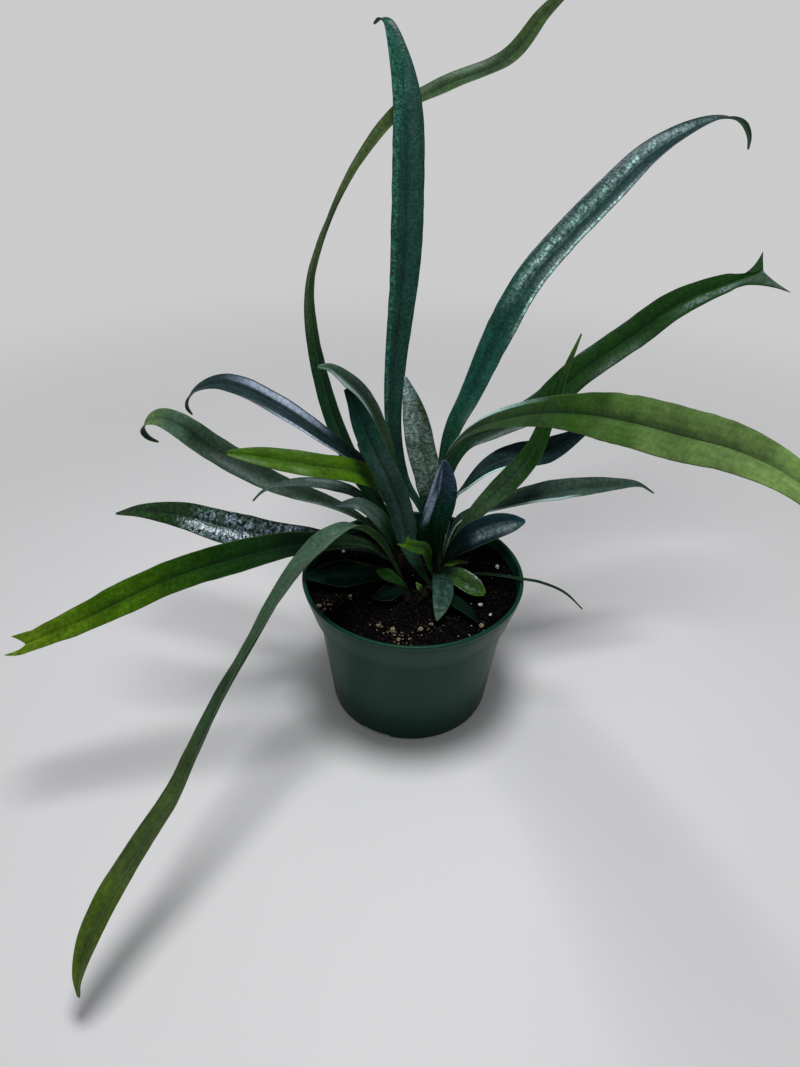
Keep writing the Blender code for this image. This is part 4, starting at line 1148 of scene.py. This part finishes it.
studio = dict(
    floorColour=(0.84, 0.84, 0.85), floorReach=30, farColour=(0.6, 0.6, 0.605), farStart=0.25, farFull=1,
    sky=(0.86, 0.87, 0.89), ambient=0.27, skyGlow=0.92, lampAim=(0, 0, 0.18),
    lampPlace=(0.0, -0.05, 1.1), lampSize=0.33, lampPower=7.2,
    fillPlace=(-1.2, -1.5, 0.9), fillSize=1.4, fillPower=1.0,
)


def makeFloor():
    shape = bmesh.new()
    bmesh.ops.create_grid(shape, x_segments=1, y_segments=1, size=studio["floorReach"])
    floor = newPiece("floor", shape, [], False)
    skin, tree, shader = newSkin("floorPaint")
    place = objectPlace(tree)
    grain = cloud(place, 4, 3)
    base = studio["floorColour"]
    darker = tuple(channel * 0.97 for channel in base)
    tree.links.new(ramp(grain, [(0.3, darker), (0.7, base)]), shader.inputs["Base Color"])
    shader.inputs["Roughness"].default_value = 0.55
    # far from the plant the floor is the plain pale backdrop
    distance = addNode(tree, "VectorMath", {0: place}, operation="LENGTH").outputs["Value"]
    far = remap(distance, studio["farStart"], studio["farFull"], 0, 1, True)
    seen = addNode(tree, "LightPath").outputs["Is Camera Ray"]
    backdrop = addNode(tree, "Emission", {"Color": (*studio["farColour"], 1), "Strength": 1.0}).outputs[0]
    share = times(far, seen)
    both = addNode(tree, "MixShader", {0: share, 1: shader.outputs[0], 2: backdrop})
    tree.links.new(both.outputs[0], tree.nodes["Material Output"].inputs[0])
    floor.data.materials.append(skin)


def makeLamp(name, place, size, power):
    lamp = bpy.data.objects.new(name, bpy.data.lights.new(name, "AREA"))
    scene.collection.objects.link(lamp)
    lamp.data.shape = "DISK"
    lamp.data.size = size
    lamp.data.energy = power
    lamp.location = place
    lamp.rotation_euler = (Vector(studio["lampAim"]) - Vector(place)).to_track_quat("-Z", "Y").to_euler()


def makeWorld():
    world = bpy.data.worlds.new("studio")
    scene.world = world
    world.use_nodes = True
    tree = world.node_tree
    plain = tree.nodes["Background"]
    plain.inputs["Color"].default_value = (*studio["sky"], 1)
    plain.inputs["Strength"].default_value = studio["ambient"]
    seen = addNode(tree, "Background", {"Color": (*studio["sky"], 1), "Strength": studio["skyGlow"]})
    ray = addNode(tree, "LightPath").outputs["Is Camera Ray"]
    both = addNode(tree, "MixShader", {0: ray, 1: plain.outputs[0], 2: seen.outputs[0]})
    tree.links.new(both.outputs[0], tree.nodes["World Output"].inputs[0])


cameraPlan = dict(place=(-0.0094, -0.4357, 0.4443), pitch=35.11, roll=1.15, lens=26.992)


def makeCamera():
    plan = cameraPlan
    camera = bpy.data.objects.new("camera", bpy.data.cameras.new("camera"))
    scene.collection.objects.link(camera)
    camera.data.lens = plan["lens"]
    tilt = Matrix.Rotation(radians(90 - plan["pitch"]), 4, "X")
    roll = Matrix.Rotation(radians(plan["roll"]), 4, "Z")
    camera.matrix_world = Matrix.Translation(plan["place"]) @ tilt @ roll
    camera.data.clip_start = 0.01
    camera.data.clip_end = 100
    scene.camera = camera


makeFloor()
makeLamp("overhead", studio["lampPlace"], studio["lampSize"], studio["lampPower"])
makeLamp("fill", studio["fillPlace"], studio["fillSize"], studio["fillPower"])
makeWorld()
makeCamera()
print("floor, lamps and camera made")
